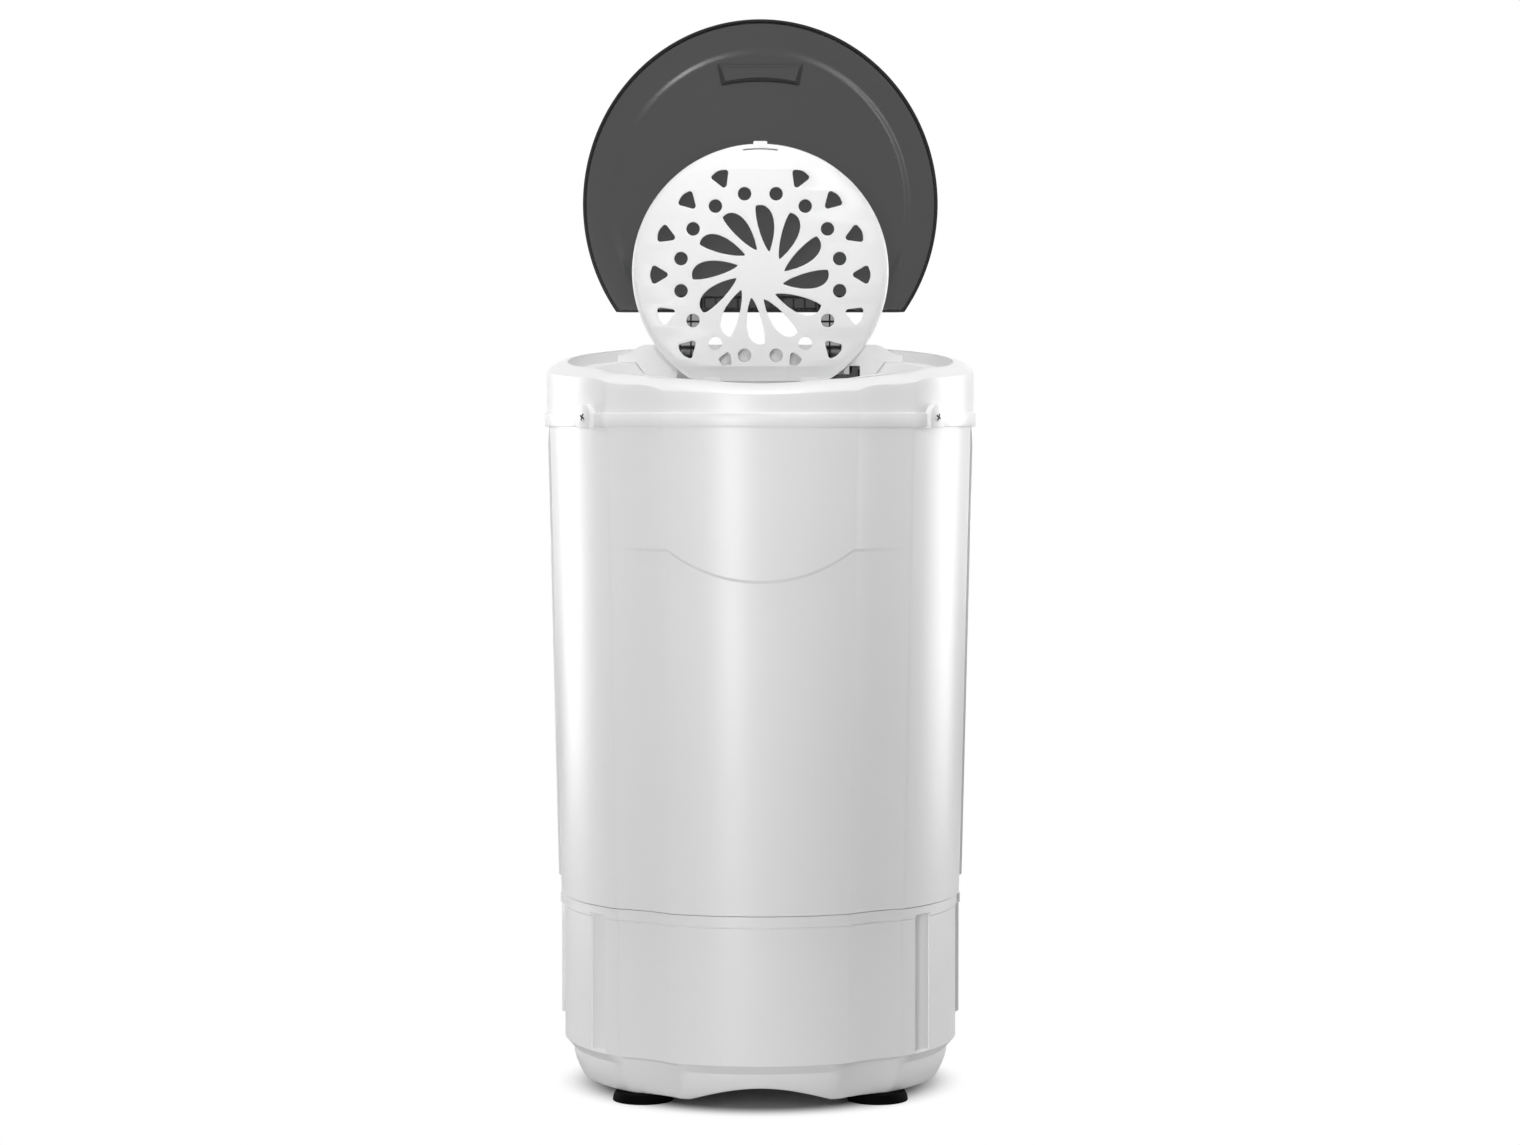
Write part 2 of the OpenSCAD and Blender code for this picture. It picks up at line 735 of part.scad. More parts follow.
// The pattern that the water and air pass through. The rear triangle gives way to the hinge,
// and the front one to the latch.
module inner_pattern() {
    rear = 4;
    front = 12;
    for (k = [0:11]) rotate(30 * k) petal();
    for (k = [0:15]) rotate(11.25 + 22.5 * k) translate([77, 0]) circle(r = 6.6);
    for (k = [0:15]) if (k != rear && k != front) rotate(22.5 * k)
        if (abs(k - rear) == 1) translate([87, 0]) rounded_triangle(4.4);
        else translate([97.5, 0]) rounded_triangle();
}

module inner_closed() {
    face_t = 2.6;
    rim_h = 4.6;
    rim_w = 3;
    slot_r = 116;
    difference() {
        union() {
            difference() {
                hull() {
                    linear_extrude(height = 0.4) inner_outline(inner_r - 4, inner_flat, 24);
                    translate([0, 0, rim_h - 0.4]) linear_extrude(height = 0.4)
                        inner_outline(inner_r, inner_rim_flat, 24);
                }
                translate([0, 0, face_t]) linear_extrude(height = rim_h)
                    inner_outline(inner_r - rim_w - 1.5, inner_flat - 1, 22);
            }
            // latch tab at the front
            translate([-6.5, -inner_r - 2, 0.6]) cube([13, 8, 3.6]);
            // lugs out to the hinge
            for (s = [-1, 1]) translate([s * inner_lug_x - 8, 0, 0]) {
                translate([0, inner_flat + 1, 2.8]) cube([16, inner_centre - inner_flat - 3, 3.6]);
                translate([0, inner_centre, inner_plate_w]) rotate([0, 90, 0])
                    cylinder(h = 16, r = 4.4);
            }
        }
        translate([0, 0, -1]) linear_extrude(height = rim_h + 2) inner_pattern();
        // spring slot behind the latch tab
        translate([0, 0, -1]) linear_extrude(height = rim_h + 2) polygon(concat(
            ring(slot_r + 1, -98, -82, 8), ring(slot_r - 1, -82, -98, 8)));
        translate([-inner_lug_x - 10, inner_centre, inner_plate_w]) rotate([0, 90, 0])
            cylinder(h = 2 * inner_lug_x + 20, r = inner_pin_r + running);
    }
}

module inner_lid() {
    color(white) translate([0, inner_axis[0], inner_axis[1]]) rotate([-90 - inner_lean, 0, 0])
        translate([0, -inner_centre, -inner_plate_w]) inner_closed();
}

// ---- interlock ----

module interlock_lever() {
    color(rubber) difference() {
        union() {
            translate([46, 107.6, 644.5]) cube([41, 2.8, 4.5]);
            translate([86.4, 107.6, 644.5]) cube([5.2, 2.8, 12]);
            translate([86.4, 107.6, 648]) cube([5.2, lever_axis[0] - 107.6, 4]);
            translate([86.4, lever_axis[0], lever_axis[1]]) rotate([0, 90, 0])
                cylinder(h = 5.2, r = 4);
        }
        translate([80, lever_axis[0], lever_axis[1]]) rotate([0, 90, 0])
            cylinder(h = 20, r = lever_pin_r + running);
    }
}

module interlock_pin() {
    color(steel) translate([83.9, lever_axis[0], lever_axis[1]]) rotate([0, 90, 0])
        cylinder(h = 12, r = lever_pin_r);
}

// Switch body, with two cheeks that hold the lever's pin.
module interlock_switch() {
    color(dark) difference() {
        union() {
            translate([83.9, 131, 646]) cube([12, 10.5, deck_top_z - wall - 646]);
            for (x = [83.9, 92.3]) translate([x, 120, 646]) cube([2, 12, 8]);
            translate([87.5, 129, 656]) cube([3, 3, 3]);
        }
        translate([80, lever_axis[0], lever_axis[1]]) rotate([0, 90, 0])
            cylinder(h = 20, r = lever_pin_r);
    }
}

// ---- tub ----

module outer_tub() {
    neck_r = 14;
    color(white) difference() {
        union() {
            cone(tub_z, tub_top_z - 2, tub_r, tub_r);
            tube(tub_top_z - 6, tub_top_z, tub_r + 3, tub_r - 3);
            // legs that stand on the seat in the base
            for (a = [0:90:270]) rotate([0, 0, a]) translate([tub_r - 8, -6, panel_z + 7])
                cube([9, 12, tub_z - panel_z]);
            for (a = [0:45:315]) rotate([0, 0, a]) translate([30, -1.5, tub_z - 8])
                cube([tub_r - 34, 3, 9]);
            cone(tub_z - 8, tub_z + 1, 22, 22);
        }
        difference() {
            cone(tub_z + wall, tub_top_z + 1, tub_r - wall, tub_r - wall);
            cone(tub_z, tub_z + 12, 20, 18);
        }
        cone(tub_z - 20, tub_z + 40, neck_r, neck_r);
        translate([drain_x, 105, tub_z - 10]) cylinder(h = 20, r = drain_r);
    }
}

module tub_gasket() {
    color(rubber) tube(tub_top_z, deck_z - deck_t, tub_r + 1, tub_r - 3);
}

module shaft_seal() {
    color(rubber) difference() {
        cone(tub_z - 8, tub_z + 11, 14, 14);
        cone(tub_z - 10, tub_z + 12, shaft_r + 0.3, shaft_r + 0.3);
        tube(tub_z + 4, tub_z + 13, 11.5, 9);
    }
}

// ---- drain ----

module drain_elbow() {
    color(dark) difference() {
        union() {
            translate([drain_x, 105, tub_z - 26]) cylinder(h = 30, r = drain_r);
            translate([drain_x, 105, tub_z - 4]) cylinder(h = 4, r = drain_r + 5);
        }
        translate([drain_x, 105, tub_z - 30]) cylinder(h = 40, r = drain_r - 2);
    }
}

// Ribbed hose from the elbow down and round to the spigot in the rear wall.
module drain_hose() {
    bend = 26;
    low = drain_z + bend;
    outer = drain_r + 2.5;
    color(rubber) difference() {
        union() {
            translate([drain_x, 105, low]) cylinder(h = tub_z - 10 - low, r = outer);
            for (z = [low + 2:5:tub_z - 36]) translate([drain_x, 105, z])
                cylinder(h = 2.4, r = outer + 1.6);
            translate([drain_x, 105 + bend, low]) rotate([-90, 0, -90])
                rotate_extrude(angle = 90) translate([bend, 0]) circle(r = outer, $fn = 48);
            translate([drain_x, 105 + bend, drain_z]) rotate([-90, 0, 0])
                cylinder(h = 16, r = outer);
        }
        translate([drain_x, 105, low]) cylinder(h = tub_z - low, r = drain_r);
        translate([drain_x, 105 + bend, low]) rotate([-90, 0, -90])
            rotate_extrude(angle = 90) translate([bend, 0]) circle(r = drain_r, $fn = 48);
        translate([drain_x, 105 + bend - eps, drain_z]) rotate([-90, 0, 0])
            cylinder(h = 30, r = drain_r - 0.5);
    }
}

module hose_clamps() {
    outer = drain_r + 2.5;
    color(steel) {
        translate([drain_x, 105, tub_z - 22]) difference() {
            cylinder(h = 8, r = outer + 1.2);
            translate([0, 0, -1]) cylinder(h = 10, r = outer);
        }
        translate([drain_x, 136, drain_z]) rotate([-90, 0, 0]) difference() {
            cylinder(h = 8, r = outer + 1.2);
            translate([0, 0, -1]) cylinder(h = 10, r = outer);
        }
    }
}

// Spigot through the rear wall: a root that the inner hose holds, a collar against the boss
// outside, and a free end for the hose to the drain.
module drain_spigot() {
    collar = 2.8;
    color(dark) translate([drain_x, 0, drain_z]) rotate([-90, 0, 0]) difference() {
        union() {
            translate([0, 0, 134]) cylinder(h = spigot_boss_y - 134 + 1, r = drain_r - 0.5);
            translate([0, 0, spigot_boss_y]) cylinder(h = collar, r = drain_r + 4);
            translate([0, 0, spigot_boss_y + 1]) cylinder(h = collar - 1 + spigot_free, r = drain_r);
        }
        translate([0, 0, 130]) cylinder(h = 70, r = drain_r - 2.5);
    }
}

module cord_gland() {
    color(rubber) translate([gland_x, 0, gland_z]) rotate([-90, 0, 0]) difference() {
        union() {
            translate([0, 0, 160]) cylinder(h = 13, r = 7);
            translate([0, 0, 157]) cylinder(h = 4, r = 10);
            translate([0, 0, 172]) cylinder(h = 5, r1 = 9.5, r2 = 7);
        }
        translate([0, 0, 150]) cylinder(h = 40, r = gland_r);
    }
}

// ---- motor ----

mount_at = 92;
bolt_at = 54;

module motor_plate() {
    color(steel) difference() {
        union() {
            cone(plate_z, plate_z + plate_t, 78, 78);
            for (a = [30:120:270]) rotate([0, 0, a]) {
                translate([60, -14, plate_z]) cube([mount_at - 60, 28, plate_t]);
                translate([mount_at, 0, plate_z]) cylinder(h = plate_t, r = 14);
            }
        }
        cone(plate_z - 1, plate_z + 10, 40, 40);
        for (a = [30:120:270]) rotate([0, 0, a]) translate([mount_at, 0, plate_z - 1])
            cylinder(h = 10, r = 4);
        for (a = [0:90:270]) rotate([0, 0, a]) translate([bolt_at, 0, plate_z - 1])
            cylinder(h = 10, r = 2.2);
    }
}

// Waisted rubber mounts between the bottom panel and the motor plate.
module motor_mounts() {
    color(rubber) for (a = [30:120:270]) rotate([0, 0, a])
        translate([mount_at, 0, 0]) rotate_extrude() polygon([[0, panel_z + panel_t],
            [13, panel_z + panel_t], [13, 29], [9, 34], [9, 43], [13, 48], [13, plate_z],
            [4, plate_z], [4, plate_z + plate_t], [9, plate_z + plate_t],
            [8, plate_z + plate_t + 4], [0, plate_z + plate_t + 4]]);
}

// A pressed end bell with cooling openings and a bearing seat.
module bell(height, seat_r) {
    shell = 2;
    difference() {
        cylinder(h = height, r = motor_r);
        translate([0, 0, shell]) cylinder(h = height, r = motor_r - shell);
        translate([0, 0, -1]) cylinder(h = 20, r = seat_r);
        for (a = [22.5:45:337.5]) rotate([0, 0, a]) translate([26, -5, -1]) cube([18, 10, 6]);
    }
    difference() {
        cylinder(h = 11, r = seat_r + 3);
        translate([0, 0, -1]) cylinder(h = 20, r = seat_r);
    }
}

module motor_lower_bell() {
    color(steel) difference() {
        translate([0, 0, bell_low_z]) bell(stator_z - bell_low_z, 16);
        for (a = [0:90:270]) rotate([0, 0, a]) translate([bolt_at, 0, bell_low_z - 1])
            cylinder(h = 10, r = 2.2);
    }
}

module motor_upper_bell() {
    color(steel) difference() {
        translate([0, 0, bell_top_z]) mirror([0, 0, 1])
            bell(bell_top_z - stator_z - stator_h, 16);
        for (a = [0:90:270]) rotate([0, 0, a]) translate([bolt_at, 0, bell_top_z - 8])
            cylinder(h = 10, r = 2.2);
    }
}

rotor_r = 33.6;
air_gap = 0.5;

module motor_stator() {
    color(dark) difference() {
        cone(stator_z, stator_z + stator_h, motor_r, motor_r);
        cone(stator_z - 1, stator_z + stator_h + 1, rotor_r + air_gap, rotor_r + air_gap);
        for (a = [7.5:15:352.5]) rotate([0, 0, a])
            translate([rotor_r + 2, -1.6, stator_z - 1]) cube([12, 3.2, stator_h + 2]);
        for (a = [0:90:270]) rotate([0, 0, a]) translate([bolt_at, 0, stator_z - 1])
            cylinder(h = stator_h + 2, r = 2.2);
    }
}

module stator_windings() {
    color("peru") for (z = [stator_z - 6, stator_z + stator_h + 6]) translate([0, 0, z])
        rotate_extrude() translate([42, 0]) circle(r = 6, $fn = 48);
}

module motor_bolts() {
    color(steel) for (a = [0:90:270]) rotate([0, 0, a]) translate([bolt_at, 0, 0]) {
        translate([0, 0, plate_z - 4]) cylinder(h = bell_top_z + 4 - plate_z, r = 2.1);
        translate([0, 0, bell_top_z]) cylinder(h = 3, r = 4, $fn = 6);
        translate([0, 0, plate_z - 3]) cylinder(h = 3, r = 4, $fn = 6);
    }
}

// A ball bearing: two races with a shield between them.
module bearing(z) {
    h = 10;
    color(steel) difference() {
        cone(z, z + h, 16, 16);
        cone(z - 1, z + h + 1, shaft_r + running, shaft_r + running);
        for (side = [z - 1, z + h - 0.8]) tube(side, side + 1.8, 13.4, 9);
    }
}

module upper_bearing() { bearing(bell_top_z - 11); }
module lower_bearing() { bearing(bell_low_z + 1); }

module run_capacitor() {
    color("gainsboro") translate([-112, -10, panel_z + 8]) {
        cylinder(h = 70, r = 19);
        translate([0, 0, 69]) cylinder(h = 3, r = 16);
        for (s = [-1, 1]) translate([-0.5, s * 6 - 3, 71]) cube([1, 6, 9]);
    }
}

module capacitor_clamp() {
    color(steel) translate([-112, -10, 0]) {
        tube(60, 72, 20.5, 19);
        difference() {
            translate([-10, -24, panel_z + 8]) cube([20, 2, 42]);
            translate([0, 0, 59.9]) cylinder(h = 13, r = 19.8);
        }
        translate([-10, -24, 60]) cube([20, 5, 12]);
    }
}

// ---- brake ----

module brake_bracket() {
    color(steel) {
        translate([brake_pivot[0] - 12, brake_pivot[1] - 14, tub_z - 11]) cube([24, 28, 3]);
        translate([brake_pivot[0], brake_pivot[1], brake_z - 3])
            cylinder(h = tub_z - 10 - brake_z + 3, r = brake_pin_r);
        translate([brake_pivot[0], brake_pivot[1], brake_z - 3]) cylinder(h = 2, r = 7);
        // anchor of the cable sheath
        translate([66, 66, brake_z + 4]) rotate([0, 0, 45]) difference() {
            translate([0, -6, 0]) cube([6, 12, tub_z - 8 - brake_z - 4]);
            translate([-1, 0, 8]) rotate([0, 90, 0]) cylinder(h = 10, r = 1);
        }
    }
}

module brake_spring() {
    color(steel) translate([brake_pivot[0], brake_pivot[1], 0])
        tube(brake_z + 15.4, tub_z - 12, 6.6, brake_pin_r + 0.5);
}

module brake_lever() {
    color(steel) difference() {
        union() {
            translate([brake_pivot[0], brake_pivot[1], brake_z])
                cylinder(h = 15, r = 9);
            translate([brake_pivot[0] - 3, brake_pivot[1], brake_z + 4]) cube([6, 104, 8]);
        }
        translate([brake_pivot[0], brake_pivot[1], brake_z - 1])
            cylinder(h = 20, r = brake_pin_r + running);
        translate([brake_pivot[0] - 10, 51, brake_z + 8]) rotate([0, 90, 0])
            cylinder(h = 20, r = 1.4);
    }
}

module brake_lining() {
    color("saddlebrown") difference() {
        translate([brake_r - 4, -14, brake_z + 2]) cube([brake_pivot[0] - 3 - brake_r + 4, 28, 12]);
        cone(brake_z, brake_z + 20, brake_r + 0.5, brake_r + 0.5);
    }
}

cable_r = 3;
cable_turn = 45;
cable_out = 160;

// Sheathed cable from the hinge housing, down between tub and casing, to the brake.
module brake_cable() {
    bend = 14;
    level = brake_z + 12;
    color(rubber) rotate([0, 0, cable_turn]) {
        translate([cable_out, 0, level + bend]) cylinder(h = 640 - level - bend, r = cable_r);
        translate([cable_out - bend, 0, level + bend]) rotate([-90, 0, 0])
            rotate_extrude(angle = 90) translate([bend, 0]) circle(r = cable_r, $fn = 48);
        translate([100, 0, level]) rotate([0, 90, 0])
            cylinder(h = cable_out - bend - 100, r = cable_r);
    }
}

// ---- drum ----

module spin_drum() {
    skin = 1.2;
    rim = 18;
    color(steel) difference() {
        union() {
            rotate_extrude() polygon([[18, drum_z + 4], [drum_r - 8, drum_z], [drum_r - 2, drum_z + 2],
                [drum_r, drum_z + 8], [drum_r, drum_top_z - 6], [drum_r - 5, drum_top_z],
                [drum_r - rim, drum_top_z], [drum_r - rim, drum_top_z - skin],
                [drum_r - 5.5, drum_top_z - skin], [drum_r - skin, drum_top_z - 6.5],
                [drum_r - skin, drum_z + 8.5], [drum_r - 2.5 - skin, drum_z + 2 + skin],
                [drum_r - 8, drum_z + skin], [18, drum_z + 4 + skin]]);
            for (z = [drum_z + 40, drum_top_z - 40])
                translate([0, 0, z]) rotate_extrude() translate([drum_r - 0.6, 0])
                    circle(r = 1.8, $fn = 24);
        }
        for (row = [0:drum_rows - 1]) for (k = [0:drum_columns - 1])
            rotate([0, 0, (k + (row % 2) / 2) * 360 / drum_columns])
                translate([drum_r - 8, 0, drum_z + 62 + row * 36]) rotate([0, 90, 0])
                    cylinder(h = 16, r = 2.6, $fn = 24);
        for (k = [0:7]) rotate([0, 0, k * 45]) translate([100, 0, drum_z - 1])
            cylinder(h = 8, r = 3, $fn = 24);
        for (k = [0:5]) rotate([0, 0, k * 60]) translate([27, 0, drum_z - 1])
            cylinder(h = 12, r = 2.5);
    }
}

module balance_ring() {
    color(white) rotate_extrude() polygon([[drum_r - 17.5, drum_top_z + 0.1],
        [drum_r - 6, drum_top_z + 0.1], [drum_r - 5, drum_top_z + 1.2], [drum_r - 6, drum_top_z + 9],
        [drum_r - 8, drum_top_z + 11], [drum_r - 15, drum_top_z + 11], [drum_r - 17.5, drum_top_z + 8]]);
}

module drum_hub() {
    color(dark) difference() {
        union() {
            rotate_extrude() polygon([[shaft_r, drum_z - 12], [17.5, drum_z - 12],
                [17.5, drum_z - 4], [36, drum_z - 4], [36, drum_z + 3], [17.9, drum_z + 3.8],
                [17.9, drum_z + 18], [13, drum_z + 30], [shaft_r, drum_z + 30]]);
        }
        for (k = [0:5]) rotate([0, 0, k * 60]) translate([27, 0, drum_z - 6])
            cylinder(h = 12, r = 2.5);
    }
}

module hub_nut() {
    color(steel) difference() {
        translate([0, 0, drum_z + 30]) cylinder(h = 8, r = 10, $fn = 6);
        cone(drum_z + 20, drum_z + 50, shaft_r - 1, shaft_r - 1);
    }
}

module drive_shaft() {
    color(steel) {
        cone(31, drum_z + 30, shaft_r, shaft_r);
        cone(drum_z + 30 - eps, drum_z + 41, shaft_r - 1, shaft_r - 1);
    }
}

module motor_rotor() {
    color(dark) {
        tube(stator_z + 1, stator_z + stator_h - 1, rotor_r, shaft_r);
        for (z = [stator_z - 4, stator_z + stator_h - 2]) tube(z, z + 6, rotor_r - 3, shaft_r + 16);
    }
}

module cooling_fan() {
    blades = 8;
    color(dark) {
        tube(33, 46, 14, shaft_r);
        tube(44, 46, 34, 13);
        for (k = [0:blades - 1]) rotate([0, 0, k * 360 / blades])
            translate([13, -1, 34]) rotate([0, 0, 8]) cube([24, 2, 11]);
    }
}

module brake_drum() {
    color(steel) difference() {
        cone(brake_z, brake_z + brake_h, brake_r, brake_r);
        tube(brake_z - 1, brake_z + brake_h - 4, brake_r - 4, 14);
        cone(brake_z - 2, brake_z + brake_h + 2, shaft_r, shaft_r);
    }
}

base_shell();
bottom_panel();
panel_screws();
foot_front_left();
foot_front_right();
foot_rear_left();
foot_rear_right();
foot_screws();
body_shell();
top_cover();
cover_screws();
hinge_housing();
housing_screws();
lid_bumpers();
lid_hinge_pins();
inner_lid_pins();
outer_lid();
inner_lid();
interlock_switch();
interlock_lever();
interlock_pin();
outer_tub();
tub_gasket();
shaft_seal();
drain_elbow();
drain_hose();
drain_spigot();
hose_clamps();
motor_plate();
motor_mounts();
motor_lower_bell();
motor_upper_bell();
motor_stator();
stator_windings();
motor_bolts();
upper_bearing();
lower_bearing();
run_capacitor();
capacitor_clamp();
cord_gland();
brake_bracket();
brake_spring();
brake_cable();
brake_lever();
brake_lining();
spin_drum();
balance_ring();
drum_hub();
hub_nut();
drive_shaft();
motor_rotor();
cooling_fan();
brake_drum();
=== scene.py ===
"""Laundry spin dryer: the finished look of every piece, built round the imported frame."""

import json
import math

import bmesh
import bpy
from bpy.props import FloatProperty, FloatVectorProperty, IntProperty, PointerProperty
from bpy.types import Operator, Panel, PropertyGroup
from mathutils import Matrix, Vector
from mathutils.geometry import tessellate_polygon


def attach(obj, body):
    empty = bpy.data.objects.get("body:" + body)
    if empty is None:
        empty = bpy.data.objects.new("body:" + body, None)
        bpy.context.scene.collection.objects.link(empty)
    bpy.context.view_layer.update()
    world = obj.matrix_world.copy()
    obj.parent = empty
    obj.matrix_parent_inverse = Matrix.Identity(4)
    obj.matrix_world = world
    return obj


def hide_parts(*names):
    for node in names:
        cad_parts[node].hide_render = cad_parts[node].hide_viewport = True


bl_info = {
    "name": "Laundry spin dryer",
    "version": (1, 0, 0),
    "blender": (4, 5, 0),
    "location": "3D Viewport > Sidebar > Spin Dryer",
    "description": "Builds a fluted laundry spin dryer with its smoked lid and inner lid",
    "category": "Add Mesh",
}

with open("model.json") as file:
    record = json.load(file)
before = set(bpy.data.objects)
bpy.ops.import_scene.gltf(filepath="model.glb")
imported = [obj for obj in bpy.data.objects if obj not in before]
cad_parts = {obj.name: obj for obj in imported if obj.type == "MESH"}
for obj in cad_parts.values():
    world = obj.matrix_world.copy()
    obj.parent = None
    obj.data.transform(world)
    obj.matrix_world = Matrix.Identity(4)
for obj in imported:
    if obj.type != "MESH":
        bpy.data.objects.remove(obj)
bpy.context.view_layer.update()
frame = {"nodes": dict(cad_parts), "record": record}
FRONT = -90.0  # direction of the machine's front, in degrees round Z from +X


# ---- sizes and colours that a user would change ----


def length(name, text, default):
    return FloatProperty(name=name, description=text, default=default, unit="LENGTH", precision=4)


def tilt(name, text, degrees):
    return FloatProperty(name=name, description=text, default=math.radians(degrees),
                         subtype="ANGLE")


def power(name, text, default):
    return FloatProperty(name=name, description=text, default=default, unit="POWER")


def colour(name, text, default):
    return FloatVectorProperty(name=name, description=text, default=default, subtype="COLOR",
                               size=3, min=0, max=1)


class SpinDryerCasing(PropertyGroup):
    top_radius: length("Top radius", "Radius of the body at its upper end", 0.1918)
    low_radius: length("Low radius", "Radius of the body at its lower end", 0.1822)
    seam_height: length("Seam height", "Height of the seam above the base", 0.1748)
    cover_height: length("Cover height", "Height of the lower edge of the cover", 0.600)
    step_height: length("Step height", "Lowest point of the step in the front", 0.4659)
    step_rise: length("Step rise", "Rise of the step from there to the flutes", 0.027)
    step_proud: length("Step depth", "How far the front above the step stands out", 0.0015)
    wall: length("Wall", "Thickness of the moulded walls", 0.003)
    edge_round: length("Edge rounding", "Softness of the ridges between the flutes", 0.0011)
    base_radius: length("Base radius", "Radius of the base wall", 0.179)
    base_low_radius: length("Base low radius", "Radius of the base's lower edge", 0.1624)
    base_low_height: length("Base low height", "Height of the base's lower edge", 0.0092)
    ledge_height: length("Ledge height", "Height at which the base draws in", 0.0435)
    flange_radius: length("Flange radius", "Radius of the cover's flange", 0.1965)
    cover_radius: length("Cover radius", "Radius of the cover's wall", 0.1946)
    rim_height: length("Rim height", "Height of the cover's rim over the axis", 0.660)
    opening_radius: length("Opening radius", "Radius of the opening under the lid", 0.1757)
    white: colour("White", "Colour of the white plastic", (0.86, 0.86, 0.86))


class SpinDryerLids(PropertyGroup):
    lid_radius: length("Lid radius", "Half the width of the outer lid", 0.1688)
    lid_stretch: FloatProperty(name="Lid stretch", default=1.043,
                               description="Length of the outer lid as a share of its width")
    lid_wall: length("Lid wall", "Thickness of the outer lid", 0.0026)
    lean: tilt("Lean", "Lean of the open outer lid past upright", 3)
    inner_radius: length("Inner lid radius", "Radius of the perforated lid", 0.121)
    inner_lean: tilt("Inner lean", "Lean of the open inner lid past upright", 4)
    plate: length("Plate", "Thickness of the perforated plate", 0.0026)
    petals: IntProperty(name="Petals", description="Petals in the rosette", default=12, min=6,
                        max=18)
    holes: IntProperty(name="Holes", description="Round holes in their ring", default=16, min=8,
                       max=24)
    smoke: colour("Smoke", "Colour of the smoked lid", (0.012, 0.012, 0.013))
    cover: FloatProperty(name="Cover", description="Light that one face of the lid holds back",
                         default=0.765, min=0, max=1)


class SpinDryerTrim(PropertyGroup):
    screw_radius: length("Screw head", "Radius of the screw heads", 0.0042)
    foot_radius: length("Foot radius", "Radius of a foot on the floor", 0.0272)
    ribs: IntProperty(name="Foot ribs", description="Upright ribs round a foot", default=64,
                      min=12, max=120)
    rubber: colour("Rubber", "Colour of the feet and seals", (0.003, 0.003, 0.003))


class SpinDryerStage(PropertyGroup):
    distance: length("Camera distance", "Distance of the camera from the axis", 3.284)
    eye_height: length("Eye height", "Height of the camera above the floor", 0.607)
    lens: FloatProperty(name="Lens", description="Focal length in millimetres", default=85.06)
    pitch: tilt("Pitch", "Downward tilt of the camera", 2.45)
    side_power: power("Side lamps", "Power of each side lamp", 33.0)
    front_power: power("Front lamp", "Power of the front lamp", 15.2)
    low_power: power("Low lamp", "Power of the lamp close to the floor", 1.0)
    lid_power: power("Lid lamp", "Power of the lamp on the lids", 50.0)
    glint_power: power("Glint lamp", "Power of the lamp on the lid's edge", 40.0)
    rim_power: power("Rim lamp", "Power of the lamp over the rim", 155.0)
    top_power: power("Top lamp", "Power of the top lamp", 8.0)
    ambient: FloatProperty(name="Ambient", description="Strength of the world's light",
                           default=0.25)


# ---- small helpers ----


def link(obj):
    bpy.context.scene.collection.objects.link(obj)
    return obj


def finish_mesh(mesh, sharp=35.0, outward=True):
    """Closes, turns outwards and shades a mesh."""
    bm = bmesh.new()
    bm.from_mesh(mesh)
    bmesh.ops.remove_doubles(bm, verts=bm.verts, dist=1e-6)
    if outward:
        bmesh.ops.recalc_face_normals(bm, faces=bm.faces)
    bm.to_mesh(mesh)
    bm.free()
    mesh.polygons.foreach_set("use_smooth", [True] * len(mesh.polygons))
    mesh.set_sharp_from_angle(angle=math.radians(sharp))
    mesh.update()


def add_piece(name, mesh, body, slot, *replaced, look=None):
    """Puts a piece in the scene with its finish, on its body, in place of the frame's nodes."""
    obj = link(bpy.data.objects.new(name, mesh))
    mesh.materials.clear()
    mesh.materials.append(finish(look or slot))
    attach(obj, body)
    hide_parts(*replaced)
    return obj


def rings_mesh(name, rings, wrap=True):
    """A mesh through closed rings of points, each ring joined to the next."""
    count = len(rings[0])
    verts = [p for ring in rings for p in ring]
    faces = []
    for i in range(len(rings) - (0 if wrap else 1)):
        a, b = i * count, (i + 1) % len(rings) * count
        faces += [(a + k, a + (k + 1) % count, b + (k + 1) % count, b + k) for k in range(count)]
    mesh = bpy.data.meshes.new(name)
    mesh.from_pydata(verts, [], faces)
    return mesh


def lathe_mesh(name, profile, segments=96):
    """A closed profile of (radius, height), turned round an upright axis."""
    turns = [2 * math.pi * k / segments for k in range(segments)]
    return rings_mesh(name, [[(r * math.cos(t), r * math.sin(t), z) for t in turns]
                             for r, z in profile])


def from_bmesh(name, bm):
    mesh = bpy.data.meshes.new(name)
    bm.to_mesh(mesh)
    bm.free()
    return mesh


def add_cube(bm, low, high):
    """A cube between two corners. Returns its vertices."""
    low, high = Vector(low), Vector(high)
    place_it = Matrix.Translation((low + high) / 2) @ Matrix.Diagonal((*(high - low), 1))
    return bmesh.ops.create_cube(bm, size=1, matrix=place_it)["verts"]


def box_mesh(name, low, high, bevel=0.0004):
    bm = bmesh.new()
    add_cube(bm, low, high)
    bmesh.ops.bevel(bm, geom=bm.edges[:], offset=bevel, segments=2, affect="EDGES")
    return from_bmesh(name, bm)


def rod_mesh(name, start, end, radius, bevel=0.0004, segments=32):
    """A round bar from start to end with softened ends."""
    start, end = Vector(start), Vector(end)
    turn = (end - start).to_track_quat("Z", "Y").to_matrix().to_4x4()
    bm = bmesh.new()
    bmesh.ops.create_cone(bm, cap_ends=True, segments=segments, radius1=radius, radius2=radius,
                          depth=(end - start).length,
                          matrix=Matrix.Translation((start + end) / 2) @ turn)
    rims = [e for e in bm.edges if any(len(f.verts) > 4 for f in e.link_faces)]
    bmesh.ops.bevel(bm, geom=rims, offset=bevel, segments=2, affect="EDGES")
    return from_bmesh(name, bm)


